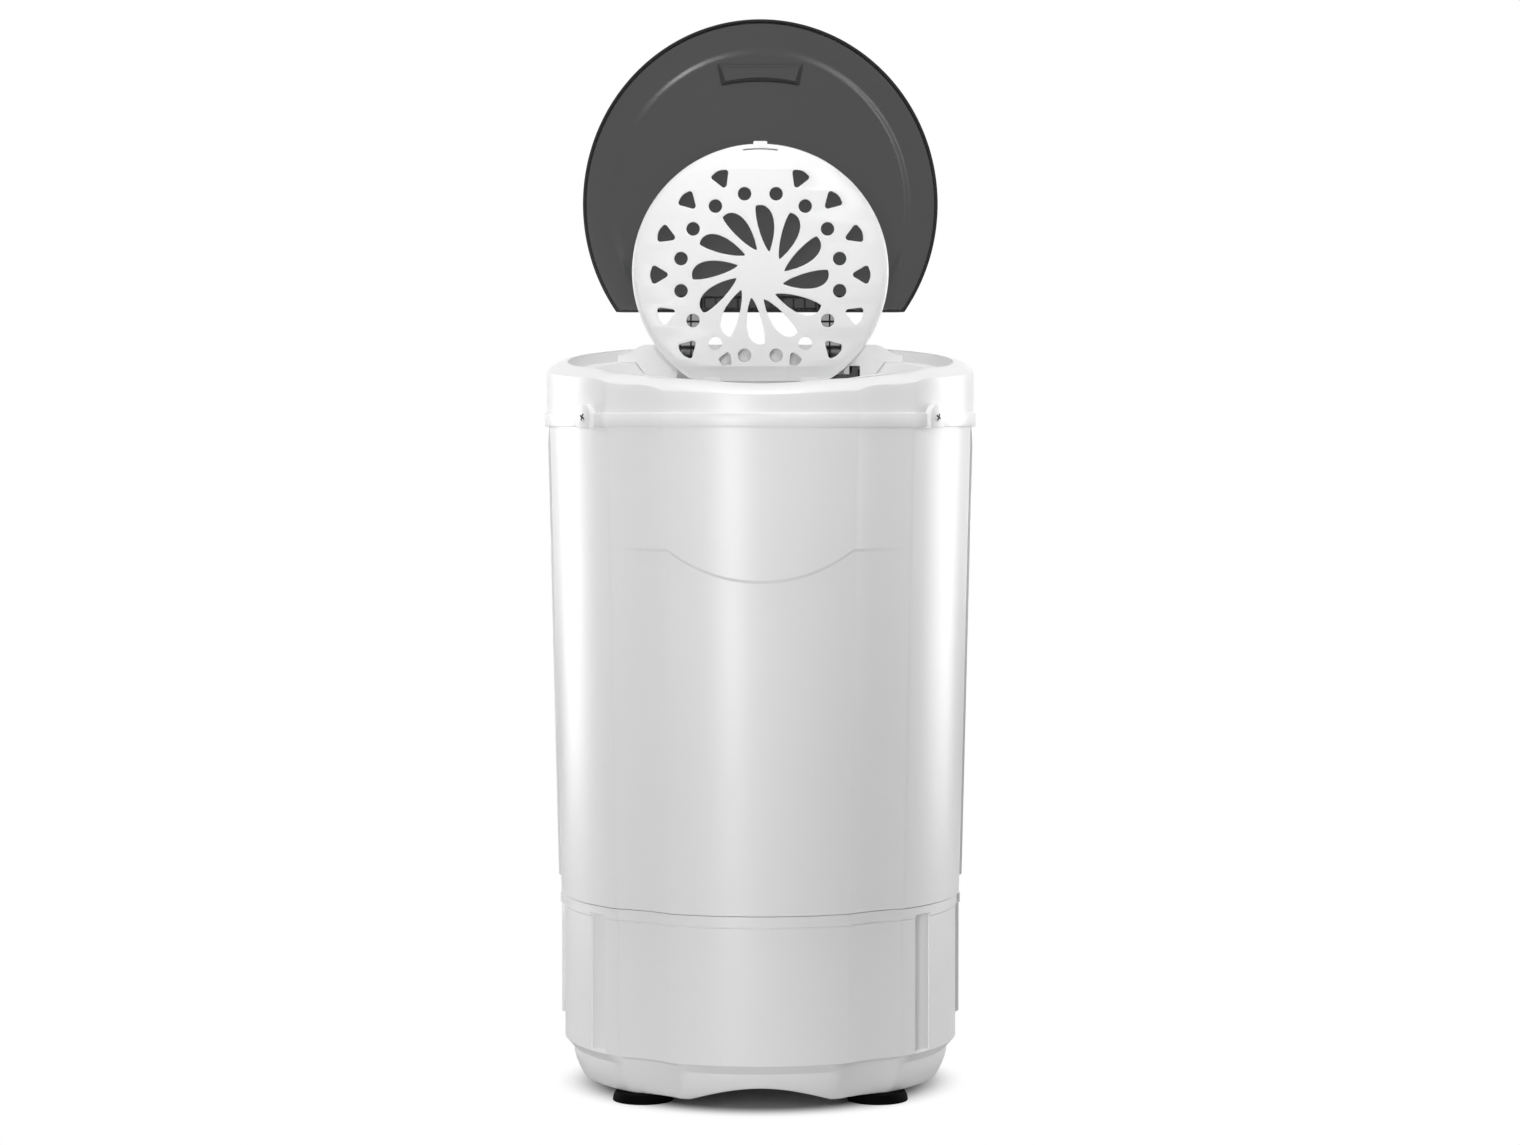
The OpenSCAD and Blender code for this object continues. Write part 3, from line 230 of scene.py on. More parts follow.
def join(name, *meshes):
    """One mesh made of several. The several go."""
    bm = bmesh.new()
    for m in meshes:
        bm.from_mesh(m)
        bpy.data.meshes.remove(m)
    return from_bmesh(name, bm)


def evaluated(obj):
    """The mesh of an object after its modifiers. The object itself goes."""
    graph = bpy.context.evaluated_depsgraph_get()
    graph.update()
    mesh = bpy.data.meshes.new_from_object(obj.evaluated_get(graph), depsgraph=graph)
    bpy.data.objects.remove(obj)
    return mesh


def carve(mesh, *cutters):
    """The mesh with other meshes cut out of it."""
    whole = link(bpy.data.objects.new("whole", mesh))
    tools = [link(bpy.data.objects.new("tool", c)) for c in cutters]
    for tool in tools:
        cut = whole.modifiers.new("Cut", "BOOLEAN")
        cut.operation = "DIFFERENCE"
        cut.solver = "EXACT"
        cut.object = tool
    made = evaluated(whole)
    for tool in tools:
        bpy.data.objects.remove(tool)
    return made


class Nodes:
    """Adds nodes to a tree, each with its values and links in one call."""

    def __init__(self, tree):
        self.tree = tree

    def put(self, socket, value):
        if isinstance(value, bpy.types.NodeSocket):
            self.tree.links.new(value, socket)
        else:
            socket.default_value = value

    def add(self, kind, *inputs, operation=None, **named):
        node = self.tree.nodes.new(kind)
        if operation:
            node.operation = operation
        for socket, value in zip(node.inputs, inputs):
            self.put(socket, value)
        for label, value in named.items():
            self.put(node.inputs[label.replace("_", " ").title()], value)
        return node

    def maths(self, operation, *inputs):
        return self.add("ShaderNodeMath", *inputs, operation=operation).outputs[0]


def node_group(name, kind, inputs, outputs):
    """A node group with its sockets. Returns its Nodes, its inputs and its outputs."""
    tree = bpy.data.node_groups.new(name, kind)
    for in_out, sockets in (("INPUT", inputs), ("OUTPUT", outputs)):
        for label, (socket, *default) in sockets.items():
            made = tree.interface.new_socket(name=label, in_out=in_out,
                                             socket_type="NodeSocket" + socket)
            if default:
                made.default_value = default[0]
    nodes = Nodes(tree)
    return nodes, nodes.add("NodeGroupInput").outputs, nodes.add("NodeGroupOutput").inputs


def ring_group():
    """Geometry nodes: copies of a piece round the upright axis, each turned by its place."""
    nodes, ins, outs = node_group(
        "Ring of copies", "GeometryNodeTree",
        {"Piece": ["Geometry"], "Count": ["Int"], "First Angle": ["Float"], "Step": ["Float"],
         "Pair Gap": ["Float"], "Height": ["Float"], "Random Spin": ["Float"], "Seed": ["Int"],
         "Material": ["Material"]}, {"Copies": ["Geometry"]})
    index = nodes.add("GeometryNodeInputIndex").outputs[0]
    pair = nodes.maths("FLOOR", nodes.maths("DIVIDE", index, 2))
    angle = nodes.maths("MULTIPLY_ADD", pair, ins["Step"], ins["First Angle"])
    angle = nodes.maths("MULTIPLY_ADD", nodes.maths("MODULO", index, 2), ins["Pair Gap"], angle)
    start = nodes.add("ShaderNodeCombineXYZ", z=ins["Height"])
    line = nodes.add("GeometryNodeMeshLine", count=ins["Count"], offset=(0, 0, 0),
                     start_location=start.outputs[0])
    random = nodes.add("FunctionNodeRandomValue", seed=ins["Seed"])
    spin = nodes.maths("MULTIPLY", random.outputs[1], ins["Random Spin"])
    turn = nodes.add("ShaderNodeCombineXYZ", x=spin, z=angle)
    copies = nodes.add("GeometryNodeInstanceOnPoints", points=line.outputs[0],
                       instance=ins["Piece"], rotation=turn.outputs[0])
    real = nodes.add("GeometryNodeRealizeInstances", copies.outputs[0])
    dressed = nodes.add("GeometryNodeSetMaterial", geometry=real.outputs[0],
                        material=ins["Material"])
    nodes.put(outs[0], dressed.outputs[0])
    return nodes.tree


def ring_of(piece, material, **values):
    """Copies of a mesh round the upright axis. A pair's second copy stands a gap further on."""
    group = bpy.data.node_groups.get("Ring of copies") or ring_group()
    obj = link(bpy.data.objects.new("ring", piece))
    ring = obj.modifiers.new("Ring", "NODES")
    ring.node_group = group
    wanted = {label.replace("_", " ").title(): value for label, value in values.items()}
    wanted["Material"] = material
    for item in group.interface.items_tree:
        if item.in_out == "INPUT" and item.name in wanted:
            ring[item.identifier] = wanted[item.name]
    return evaluated(obj)


def smooth_min(a, b, k):
    """The smaller of two numbers, with the change from one to the other rounded over k."""
    h = min(max(0.5 + 0.5 * (b - a) / k, 0.0), 1.0)
    return b + (a - b) * h - k * h * (1 - h)


def window(x, half, soft):
    """1 within half of zero, 0 outside, with a soft edge."""
    t = min(max((half - abs(x)) / soft + 0.5, 0.0), 1.0)
    return t * t * (3 - 2 * t)


def between(z, low, high):
    """1 between two heights, 0 outside, with soft ends."""
    return window(z - (low + high) / 2, (high - low) / 2, 0.0008)


# ---- the fluted outline that base, body and cover share ----

FLUTE_TURN = 35.05            # middle of a flute, in degrees from the front or the rear
FLUTE_CENTRES = [middle + turn for middle in (FRONT, -FRONT) for turn in (-FLUTE_TURN, FLUTE_TURN)]
HOLLOW_RADIUS = 119 / 191.8   # radius of a flute's hollow, as a share of the casing's radius
HOLLOW_FAR = 304.2 / 191.8    # distance of its centre from the axis, as the same share
PANEL_HALF = 83.5 / 191.8     # half the width of the front panel, as the same share
RIDGE = math.degrees(math.asin(PANEL_HALF))       # ridge beside the front panel, from the front
CREASE = math.degrees(math.asin(134 / 191.8))     # outer edge of the flute, from the front
RAIL_HALF = 0.012
SLOT_HALF = 0.0108
SLOT_ANGLES = [-36.3, -143.7, 36.3, 143.7]


def fluted(angle, radius, soft, cutter=None):
    """Distance of the casing's skin from the axis, in a direction in degrees."""
    cutter = cutter or radius
    off = min(abs((angle - c + 180) % 360 - 180) for c in FLUTE_CENTRES)
    side = HOLLOW_FAR * cutter * math.sin(math.radians(off))
    if abs(side) >= HOLLOW_RADIUS * cutter or off > 60:
        return radius
    hollow = (HOLLOW_FAR * cutter * math.cos(math.radians(off))
              - math.sqrt((HOLLOW_RADIUS * cutter) ** 2 - side ** 2))
    return smooth_min(radius, hollow, soft)


def turn_angles():
    """Directions round the casing, closer together at every ridge, rail and slot."""
    slot_radius, rail_radius = 0.179, 0.187  # distance of slots and rails from the axis
    angles = {round(1.5 * k, 3) for k in range(240)}
    for side in (FRONT, -FRONT):
        for edge in (RIDGE, CREASE):
            for s in (-1, 1):
                angles |= {side + s * edge + d for d in (-1, -0.6, -0.35, -0.15, 0, 0.15, 0.35,
                                                         0.6, 1)}
    for centre in SLOT_ANGLES:
        half = math.degrees((SLOT_HALF + 0.0003) / slot_radius)
        angles |= {centre + s * (half + d) for s in (-1, 1) for d in (-0.3, -0.07, 0, 0.07, 0.3)}
    for centre in (0, 180):
        half = math.degrees(RAIL_HALF / rail_radius)
        angles |= {centre + s * (half + d) for s in (-1, 1) for d in (-0.25, -0.1, 0.1, 0.25)}
    ordered = sorted(a % 360 for a in angles)
    return [a for a, b in zip(ordered, ordered[1:] + [ordered[0] + 360]) if b - a > 0.04]


ANGLES = turn_angles()


def from_front(angle):
    """Direction measured from the front, between -180 and 180 degrees."""
    return (angle - FRONT + 180) % 360 - 180


def place(angle, radius, z):
    """The point in a direction in degrees, a radius from the axis, at a height."""
    a = math.radians(angle)
    return (radius * math.cos(a), radius * math.sin(a), z)


def loop(skin, height, inset=0.0):
    """A ring of points on a skin, at one height or at a height that follows the direction."""
    heights = [height(a) if callable(height) else height for a in ANGLES]
    return [place(a, skin(a, z) - inset, z) for a, z in zip(ANGLES, heights)]


def rail(angle, radius, z, low, high):
    """1 on the upright rail at each side of the casing, 0 off it."""
    a = math.radians(angle)
    side = radius * math.sin(a) if abs(math.cos(a)) > 0.7 else 1.0
    return window(side, RAIL_HALF, 0.0006) * between(z, low, high)


# ---- materials ----


def pattern_group(name, inputs, pattern):
    """A group that shades a colour, roughens and gives bump heights by a pattern of noise."""
    nodes, ins, outs = node_group(
        name, "ShaderNodeTree",
        {"Colour": ["Color", (0.6, 0.6, 0.6, 1)], **{k: ["Float", v] for k, v in inputs.items()}},
        {"Colour": ["Color"], "Roughness": ["Float"], "Height": ["Float"]})
    where = nodes.add("ShaderNodeTexCoord").outputs["Object"]
    broad, fine = pattern(nodes, ins, where)
    shade = nodes.maths("MULTIPLY_ADD", broad, nodes.maths("MULTIPLY", ins["Shade"], -1.0), 1.0)
    tint = nodes.add("ShaderNodeVectorMath", ins["Colour"], operation="SCALE", scale=shade)
    nodes.put(outs["Colour"], tint.outputs[0])
    nodes.put(outs["Roughness"], nodes.maths("MULTIPLY_ADD", broad, ins["Spread"],
                                             ins["Roughness"]))
    nodes.put(outs["Height"], fine)
    return nodes.tree


def noise(nodes, where, scale, detail):
    return nodes.add("ShaderNodeTexNoise", vector=where, scale=scale, detail=detail).outputs["Fac"]


def moulded_pattern(nodes, ins, where):
    """Faint flow shading and fine grain of moulded plastic and rubber."""
    return noise(nodes, where, 7.0, 3.0), noise(nodes, where, ins["Grain Size"], 2.0)


def brushed_pattern(nodes, ins, where):
    """Streaks of brushed or drawn metal round the upright axis."""
    part = nodes.add("ShaderNodeSeparateXYZ", where).outputs
    scales = {"X": 20.0, "Y": 20.0, "Z": ins["Streaks"]}
    stretched = [nodes.maths("MULTIPLY", part[axis], scale) for axis, scale in scales.items()]
    streak = nodes.add("ShaderNodeCombineXYZ", *stretched).outputs[0]
    return (noise(nodes, streak, 1.0, 3.0),) * 2


PATTERNS = {
    "moulded": ("Moulded surface", {"Shade": 0.02, "Roughness": 0.35, "Spread": 0.05,
                                    "Grain Size": 1200.0}, moulded_pattern),
    "brushed": ("Brushed surface", {"Shade": 0.12, "Roughness": 0.3, "Spread": 0.12,
                                    "Streaks": 900.0}, brushed_pattern),
}


def surface(name, kind, rgb, bump=0.00002, metallic=0.0, gloss=0.5, cover=None, **values):
    """A material whose colour, roughness and bump come from one of the shared groups.

    With cover, its alpha comes from the mesh's attribute of that name.
    """
    group = bpy.data.node_groups.get(PATTERNS[kind][0]) or pattern_group(*PATTERNS[kind])
    material = bpy.data.materials.new(name)
    material.use_nodes = True
    nodes = Nodes(material.node_tree)
    shader = nodes.tree.nodes["Principled BSDF"].inputs
    nodes.put(shader["Metallic"], metallic)
    nodes.put(shader["Specular IOR Level"], gloss)
    if cover:
        held = nodes.add("ShaderNodeAttribute")
        held.attribute_name = cover
        nodes.put(shader["Alpha"], held.outputs["Fac"])
    effect = nodes.add("ShaderNodeGroup")
    effect.node_tree = group
    for label, value in {"colour": (*rgb, 1), **values}.items():
        nodes.put(effect.inputs[label.replace("_", " ").title()], value)
    relief = nodes.add("ShaderNodeBump", distance=bump, strength=0.6,
                       height=effect.outputs["Height"])
    nodes.put(shader["Base Color"], effect.outputs["Colour"])
    nodes.put(shader["Roughness"], effect.outputs["Roughness"])
    nodes.put(shader["Normal"], relief.outputs["Normal"])
    return material


# Each finish: the material's name, its pattern, its colour, or the setting that holds it, and
# its other values.
FINISHES = {
    "white_plastic": ("White gloss plastic", "moulded", "spin_dryer_casing.white",
                      dict(roughness=0.3)),
    "tub_plastic": ("White tub plastic", "moulded", (0.8, 0.8, 0.79), dict(roughness=0.42)),
    "smoked_plastic": ("Smoked acrylic", "moulded", "spin_dryer_lids.smoke",
                       dict(bump=0.000004, gloss=0.2, cover="cover", roughness=0.2, shade=0.1)),
    "black_rubber": ("Black rubber", "moulded", "spin_dryer_trim.rubber",
                     dict(bump=0.00008, gloss=0.03, roughness=0.7, spread=0.2,
                          grain_size=700.0)),
    "screw_steel": ("Zinc plated steel", "brushed", (0.78, 0.78, 0.79),
                    dict(metallic=0.9, roughness=0.28)),
    "coated_steel": ("White coated steel", "moulded", (0.8, 0.8, 0.8), dict(roughness=0.3)),
    "drum_steel": ("Stainless drum", "brushed", (0.6, 0.6, 0.61),
                   dict(metallic=1.0, roughness=0.22)),
    "dark_plastic": ("Dark plastic and painted cross shade", "moulded", (0.02, 0.02, 0.021), dict(roughness=0.4)),
    "grey_plastic": ("Grey plastic", "moulded", (0.25, 0.26, 0.27), dict(roughness=0.4)),
    "motor_steel": ("Painted motor steel", "moulded", (0.09, 0.1, 0.12),
                    dict(roughness=0.35, spread=0.15)),
    "lamination": ("Motor laminations", "brushed", (0.3, 0.3, 0.31),
                   dict(metallic=1.0, roughness=0.45, streaks=3000.0, shade=0.4)),
    "winding_copper": ("Enamelled copper", "brushed", (0.62, 0.25, 0.1),
                       dict(metallic=1.0, roughness=0.3, streaks=2500.0)),
    "capacitor_can": ("Drawn aluminium", "brushed", (0.7, 0.7, 0.7),
                      dict(metallic=1.0, roughness=0.35)),
    "lining": ("Brake lining", "moulded", (0.12, 0.07, 0.04),
               dict(bump=0.0002, roughness=0.8, shade=0.4, grain_size=500.0)),
}
TUB_NODES = ("outer_tub", "balance_ring")


def finish(key):
    """The material of a finish, made when it is first asked for."""
    name, kind, rgb, values = FINISHES[key]
    if isinstance(rgb, str):
        rgb = bpy.context.scene.path_resolve(rgb)
    return bpy.data.materials.get(name) or surface(name, kind, rgb, **values)


class SPINDRYER_OT_finishes(Operator):
    """Give every piece of the frame its finish"""

    bl_idname = "spin_dryer.finishes"
    bl_label = "Finishes"

    def execute(self, context):
        slots = {s["node"]: s["material_slot"] for s in frame["record"]["subparts"]}
        for node, obj in frame["nodes"].items():
            obj.data.materials.clear()
            obj.data.materials.append(finish("tub_plastic" if node in TUB_NODES
                                             else slots[node]))
        return {"FINISHED"}


# ---- body ----


def step_line(angle, casing):
    """Height of the step in a direction, and how far the skin above it stands out."""
    off = abs(from_front(angle))
    half = PANEL_HALF * (casing.low_radius + casing.top_radius) / 2
    bow = (half ** 2 + casing.step_rise ** 2) / (2 * casing.step_rise)
    top = casing.step_height + casing.step_rise
    if off < RIDGE:
        x = min(casing.top_radius * math.sin(math.radians(off)), half)
        return casing.step_height + bow - math.sqrt(bow ** 2 - x ** 2), casing.step_proud
    fade = min(max((CREASE - off) / (CREASE - RIDGE), 0.0), 1.0)
    return top, casing.step_proud * fade


class SPINDRYER_OT_body(Operator):
    """Build the fluted body with the step across its front"""

    bl_idname = "spin_dryer.body"
    bl_label = "Body"

    def execute(self, context):
        casing = context.scene.spin_dryer_casing
        low, top, soft = casing.seam_height, casing.cover_height, casing.edge_round
        taper = (casing.top_radius - casing.low_radius) / (top - low)
        rail_end, rail_proud = 0.1904, 0.002
        step_half = 0.0016
        tongue_top, tongue_gap = 0.618, 0.0006

        def skin(angle, z):
            radius = casing.low_radius + taper * (z - low)
            height, proud = step_line(angle, casing)
            rise = min(max((z - height) / (2 * step_half) + 0.5, 0.0), 1.0)
            return (fluted(angle, radius, soft) + proud * rise * rise * (3 - 2 * rise)
                    + rail_proud * rail(angle, radius, z, rail_end, top))

        def tongue(angle, z):
            """The skin of the edge that stands up inside the cover."""
            return fluted(angle, casing.top_radius - tongue_gap, soft)

        def inside(angle, z):
            return fluted(angle, casing.low_radius, soft) - casing.wall + taper * (z - low)

        rings = [loop(skin, z, inset) for inset, z in
                 ((0.0022, low), (0.0021, low + 0.0005), (0.0003, low + 0.0005))]
        rings += [loop(skin, z) for z in (low + 0.0008, low + 0.004, rail_end - 0.0006, rail_end,
                                          rail_end + 0.0006, 0.23, 0.29, 0.35, 0.40, 0.44)]
        rings += [loop(skin, lambda a, lift=0.0022 * k / 6: step_line(a, casing)[0] + lift)
                  for k in range(-6, 7)]
        rings += [loop(skin, z) for z in (0.51, 0.535, 0.56, 0.585, top + 0.0001)]
        rings += [loop(tongue, z, inset) for inset, z in
                  ((0, top + 0.0001), (0, tongue_top - 0.0005), (0.0005, tongue_top),
                   (casing.wall, tongue_top))]
        rings += [loop(inside, z) for z in (0.59, 0.45, 0.3, low)]
        mesh = rings_mesh("casing_body", rings)
        finish_mesh(mesh)
        add_piece("casing_body", mesh, "housing", "white_plastic", "body_shell")
        return {"FINISHED"}


# ---- base ----


class SPINDRYER_OT_base(Operator):
    """Build the fluted base with its slots, ledge and arches"""

    bl_idname = "spin_dryer.base"
    bl_label = "Base"

    def execute(self, context):
        casing = context.scene.spin_dryer_casing
        seam, ledge, soft = casing.seam_height, casing.ledge_height, casing.edge_round
        low, low_r = casing.base_low_height, casing.base_low_radius
        arch_half, arch_top = 0.0625, 0.0222
        under_r, under_z = 0.1712, 0.0350    # where the skirt meets the ledge's slope
        lip, lip_proud, groove = 0.1649, 0.0010, 0.0008
        slot_low, slot_high, slot_soft, slot_lean = ledge + 0.001, 0.1669, 0.0003, 0.34
        rail_low, rail_high, rail_proud = 0.0647, seam - 0.001, 0.003

        def arch(angle):
            """Height of the base's lower edge: a low arch at front and rear."""
            x = low_r * math.cos(math.radians(angle))
            if abs(x) > arch_half:
                return low
            return low + (arch_top - low) * ((1 + math.cos(math.pi * x / arch_half)) / 2) ** 0.5

        def skirt(angle, z):
            """The bulging skin below the ledge."""
            bulge = low_r + (under_r - low_r) * math.sin(
                math.pi / 2 * min(max((z - low) / (under_z - low), 0.0), 1.0))
            flare = max(z - under_z, 0.0) / (ledge - under_z)
            return fluted(angle, bulge + (casing.base_radius - under_r) * flare, soft,
                          low_r + 0.25 * (z - low))

        def skin(angle, z):
            if z < ledge:
                return skirt(angle, z)
            radius = casing.base_radius + (lip_proud if z > lip else 0.0)
            if lip - 0.0010 < z < lip - 0.0001:
                radius -= groove
            out = (fluted(angle, radius, soft)
                   + rail_proud * rail(angle, radius, z, rail_low, rail_high))
            for centre in SLOT_ANGLES:
                along = radius * math.radians((angle - centre + 180) % 360 - 180)
                cut = window(along, SLOT_HALF + slot_soft, 0.0004) * between(z, slot_low,
                                                                             slot_high)
                lean = math.copysign(slot_lean, math.sin(2 * math.radians(centre)))
                floor = casing.base_radius - 0.0010 - SLOT_HALF * slot_lean - lean * along
                out += (floor - out) * cut
            return out

        def lower(share, inset=0.0):
            """A ring between the arched lower edge and the ledge's slope."""
            return loop(skin, lambda a: arch(a) + (under_z - arch(a)) * share, inset)

        def seam_edge(angle, z):
            return skin(angle, seam - 0.0007)

        def inside(angle, z):
            return min(fluted(angle, casing.base_radius - casing.wall, soft),
                       skin(angle, z) - 0.002)

        heights = [under_z + 0.0013, under_z + 0.0026, ledge - 0.0003]
        heights += [ledge + d for d in (0, 0.0005, 0.0012, 0.0018, 0.003)]
        heights += [rail_low + d for d in (-0.0006, 0, 0.0006)] + [0.09, 0.12, 0.15]
        heights += [lip + d for d in (-0.0012, -0.0008, -0.0003, 0, 0.0002, 0.0008)]
        heights += [slot_high + d for d in (-0.0006, 0, 0.0006)]
        heights += [rail_high + d for d in (-0.0006, 0)] + [seam - 0.0006]
        rings = [lower(share, inset) for share, inset in
                 ((0.0, 0.0025), (0.0, 0.0008), (0.02, 0.0002), (0.05, 0.0))]
        rings += [lower(share) for share in (0.2, 0.4, 0.6, 0.8, 1.0)]
        rings += [loop(skin, z) for z in heights]
        rings += [loop(seam_edge, z, inset) for inset, z in
                  ((0.0002, seam - 0.0004), (0.0022, seam - 0.0003), (0.0024, seam))]
        rings += [loop(inside, z) for z in (seam, lip, 0.1, ledge + 0.003)]
        rings += [lower(share, casing.wall) for share in (1.0, 0.5, 0.0)]
        mesh = rings_mesh("casing_base", rings)
        finish_mesh(mesh)
        add_piece("casing_base", mesh, "housing", "white_plastic", "base_shell")
        return {"FINISHED"}


# ---- top cover ----

SCREW_ANGLES = [-38.8, -141.2, 38.8, 141.2]
SCREW_Z = 0.6085
SCREW_FACE = 0.200  # distance of a boss's outer face from the axis
FLANGE_DEEP = 0.0122
RIM_SLOPE, RIM_WIDTH = 0.1, 0.019
RIM_START = 58.0  # steepness of the rim's outer edge, in degrees
SEAT_DOWN, SEAT_INNER = 0.011, 0.1665  # depth of the lid's seat below the rim, its inner radius
DECK_Z, DECK_RADIUS = 0.628, 0.145
MOUTH_RADIUS, MOUTH_FLAT = 0.106, 0.078
COLLAR_Z = 0.6175  # lower end of the collar round the mouth
INNER_HINGE = Vector((0, 0.104, 0.634))
INNER_ARM = 0.046  # distance of the inner lid's hinges from the middle
LUG_GAP = 0.0123
# How far the rim's inner edge and its outer crease lie below their plane, by direction from
# the front in degrees.
EDGE_DIP = [(0, 0.0048), (24, 0.0018), (41, 0.0), (54, -0.0015), (75, 0.0)]
CREASE_DIP = [(0, 0.0033), (22, 0.0018), (38, 0.0033), (48, -0.0042), (70, -0.002), (90, 0.0)]


def dip(angle, table):
    """Value of a table in a direction, eased from one entry to the next."""
    off = abs(from_front(angle))
    for (a, low), (b, high) in zip(table, table[1:]):
        if off <= b:
            t = (1 - math.cos(math.pi * (off - a) / (b - a))) / 2
            return low + (high - low) * t
    return 0.0


def rim_plane(angle, radius, casing):
    return casing.rim_height + RIM_SLOPE * radius * math.sin(math.radians(angle))


def cover_outside(a, wall, casing):
    """Flange, wall and rounded rim in one direction, and the height of the wall's upper edge."""
    low, top = casing.cover_height, casing.cover_height + FLANGE_DEEP
    flange = fluted(a, casing.flange_radius, casing.edge_round)
    hollow = (casing.cover_radius - wall) / 0.0067  # 0 on a panel, 1 in a flute
    edge_dip = dip(a, EDGE_DIP)
    drop = 0.009 - 0.0045 * hollow + dip(a, CREASE_DIP) - edge_dip
    edge = rim_plane(a, wall, casing) - edge_dip - drop
    points = [(wall - 0.0032, low), (flange - 0.0007, low), (flange - 0.0002, low + 0.0002),
              (flange, low + 0.0007), (flange, top - 0.0009), (flange - 0.0003, top - 0.0003),
              (flange - 0.0009, top), (wall + 0.0003, top), (wall + 0.00005, top + 0.0002),
              (wall, top + 0.0006)]
    points += [(wall, top + (edge - top) * share) for share in (0.25, 0.5, 0.75)]
    points += [(wall, edge - 0.0006), (wall - 0.0001, edge)]
    first = math.radians(RIM_START)
    for k in range(1, 11):
        turn = first + (math.pi / 2 - first) * k / 10
        r = wall - RIM_WIDTH * (1 - math.cos(turn) / math.cos(first))
        rise = (math.sin(turn) - math.sin(first)) / (1 - math.sin(first))
        points.append((r, rim_plane(a, r, casing) - edge_dip - drop * (1 - rise)))
    opening = casing.opening_radius
    points += [(r, rim_plane(a, r, casing) - edge_dip - down) for r, down in
               ((opening + 0.0008, 0.0), (opening + 0.0002, 0.0003), (opening, 0.001))]
    return points, edge


def cover_inside(a, wall, edge, casing):
    """Seat, funnel, deck, mouth and underside of the cover in one direction."""
    opening = casing.opening_radius
    points = [(r, rim_plane(a, r, casing) - down) for r, down in
              ((opening, 0.0075), (opening, SEAT_DOWN - 0.0006), (opening - 0.0006, SEAT_DOWN),
               (SEAT_INNER, SEAT_DOWN))]
    seat = rim_plane(a, 0.165, casing) - SEAT_DOWN
    funnel = DECK_RADIUS + 0.020 * (seat - DECK_Z) / 0.036
    points += [(funnel + 0.0008, seat), (funnel, seat - 0.0008)]
    points += [(DECK_RADIUS + (funnel - DECK_RADIUS) * share, DECK_Z + (seat - DECK_Z) * share)
               for share in (0.75, 0.5, 0.25, 0.03)]
    deck = DECK_RADIUS - 0.0005
    mouth, across = MOUTH_RADIUS, math.sin(math.radians(a))
    if across > 0:
        mouth = min(mouth, MOUTH_FLAT / max(across, 1e-3))
    points += [(mouth + (deck - mouth) * share, DECK_Z) for share in (1, 0.66, 0.33)]
    return points + [
        (mouth + 0.003, DECK_Z), (mouth + 0.0009, DECK_Z - 0.0007), (mouth, DECK_Z - 0.003),
        (mouth, COLLAR_Z + 0.0008), (mouth + 0.0008, COLLAR_Z), (mouth + 0.0022, COLLAR_Z),
        (mouth + casing.wall, COLLAR_Z + 0.0008), (mouth + casing.wall, DECK_Z - 0.004),
        (DECK_RADIUS + 0.001, DECK_Z - 0.004), (funnel + 0.003, seat - 0.005),
        (SEAT_INNER, seat - 0.0045), (opening + 0.0032, seat - 0.004),
        (opening + 0.0032, rim_plane(a, opening, casing) - 0.009),
        (wall - 0.0045, edge - 0.004)]


class SPINDRYER_OT_cover(Operator):
    """Build the top cover: flange, sloping rim, seat, funnel, deck and mouth"""

    bl_idname = "spin_dryer.cover"
    bl_label = "Top cover"

    def execute(self, context):
        casing = context.scene.spin_dryer_casing
        columns = []
        for a in ANGLES:
            wall = fluted(a, casing.cover_radius, casing.edge_round)
            outside, edge = cover_outside(a, wall, casing)
            columns.append([place(a, r, z) for r, z in
                            outside + cover_inside(a, wall, edge, casing)])
        mesh = rings_mesh("cover_shell", [list(ring) for ring in zip(*columns)])
        finish_mesh(mesh)
        bosses = [screw_boss(a, casing) for a in SCREW_ANGLES]
        whole = join("cover_casing", mesh, *bosses, *inner_lid_lugs())
        finish_mesh(whole, outward=False)
        add_piece("cover_casing", whole, "housing", "white_plastic", "top_cover")
        return {"FINISHED"}


def screw_boss(angle, casing):
    """A boss with a round head and straight sides, raised round a screw of the flange."""
    half, foot, root = 0.010, casing.cover_height - 0.001, 0.185
    top, middle = SCREW_Z + 0.0015, casing.cover_height + 0.008
    outline = [(half * math.cos(math.pi * k / 16), top + half * math.sin(math.pi * k / 16))
               for k in range(17)] + [(-half, foot), (half, foot)]
    rings = [[(depth, u * (1 - inset / half), middle + (z - middle) * (1 - inset / half))
              for u, z in outline]
             for depth, inset in ((root, 0), (SCREW_FACE - 0.0008, 0),
                                  (SCREW_FACE - 0.0002, 0.0003), (SCREW_FACE, 0.0009))]
    mesh = rings_mesh("boss", rings, wrap=False)
    mesh.transform(Matrix.Rotation(math.radians(angle), 4, "Z"))
    bm = bmesh.new()
    bm.from_mesh(mesh)
    bmesh.ops.holes_fill(bm, edges=[e for e in bm.edges if e.is_boundary], sides=0)
    bmesh.ops.recalc_face_normals(bm, faces=bm.faces)
    return from_bmesh("boss", bm)


def inner_lid_lugs():
    """The four lugs on the deck that hold the inner lid's pins."""
    made = []
    half, reach, (_, y, z) = 0.0035, 0.005, INNER_HINGE
    for middle in (-INNER_ARM, INNER_ARM):
        for x in (middle - LUG_GAP, middle + LUG_GAP):
            made.append(box_mesh("lug", (x - half, y - reach, DECK_Z - 0.001),
                                 (x + half, y + reach, z)))
            made.append(rod_mesh("lug", (x - half, y, z), (x + half, y, z), reach))
    return made


# ---- outer lid ----
# Drawn closed: x across, v from the hinge axis to the rear, w up from the hinge plane.

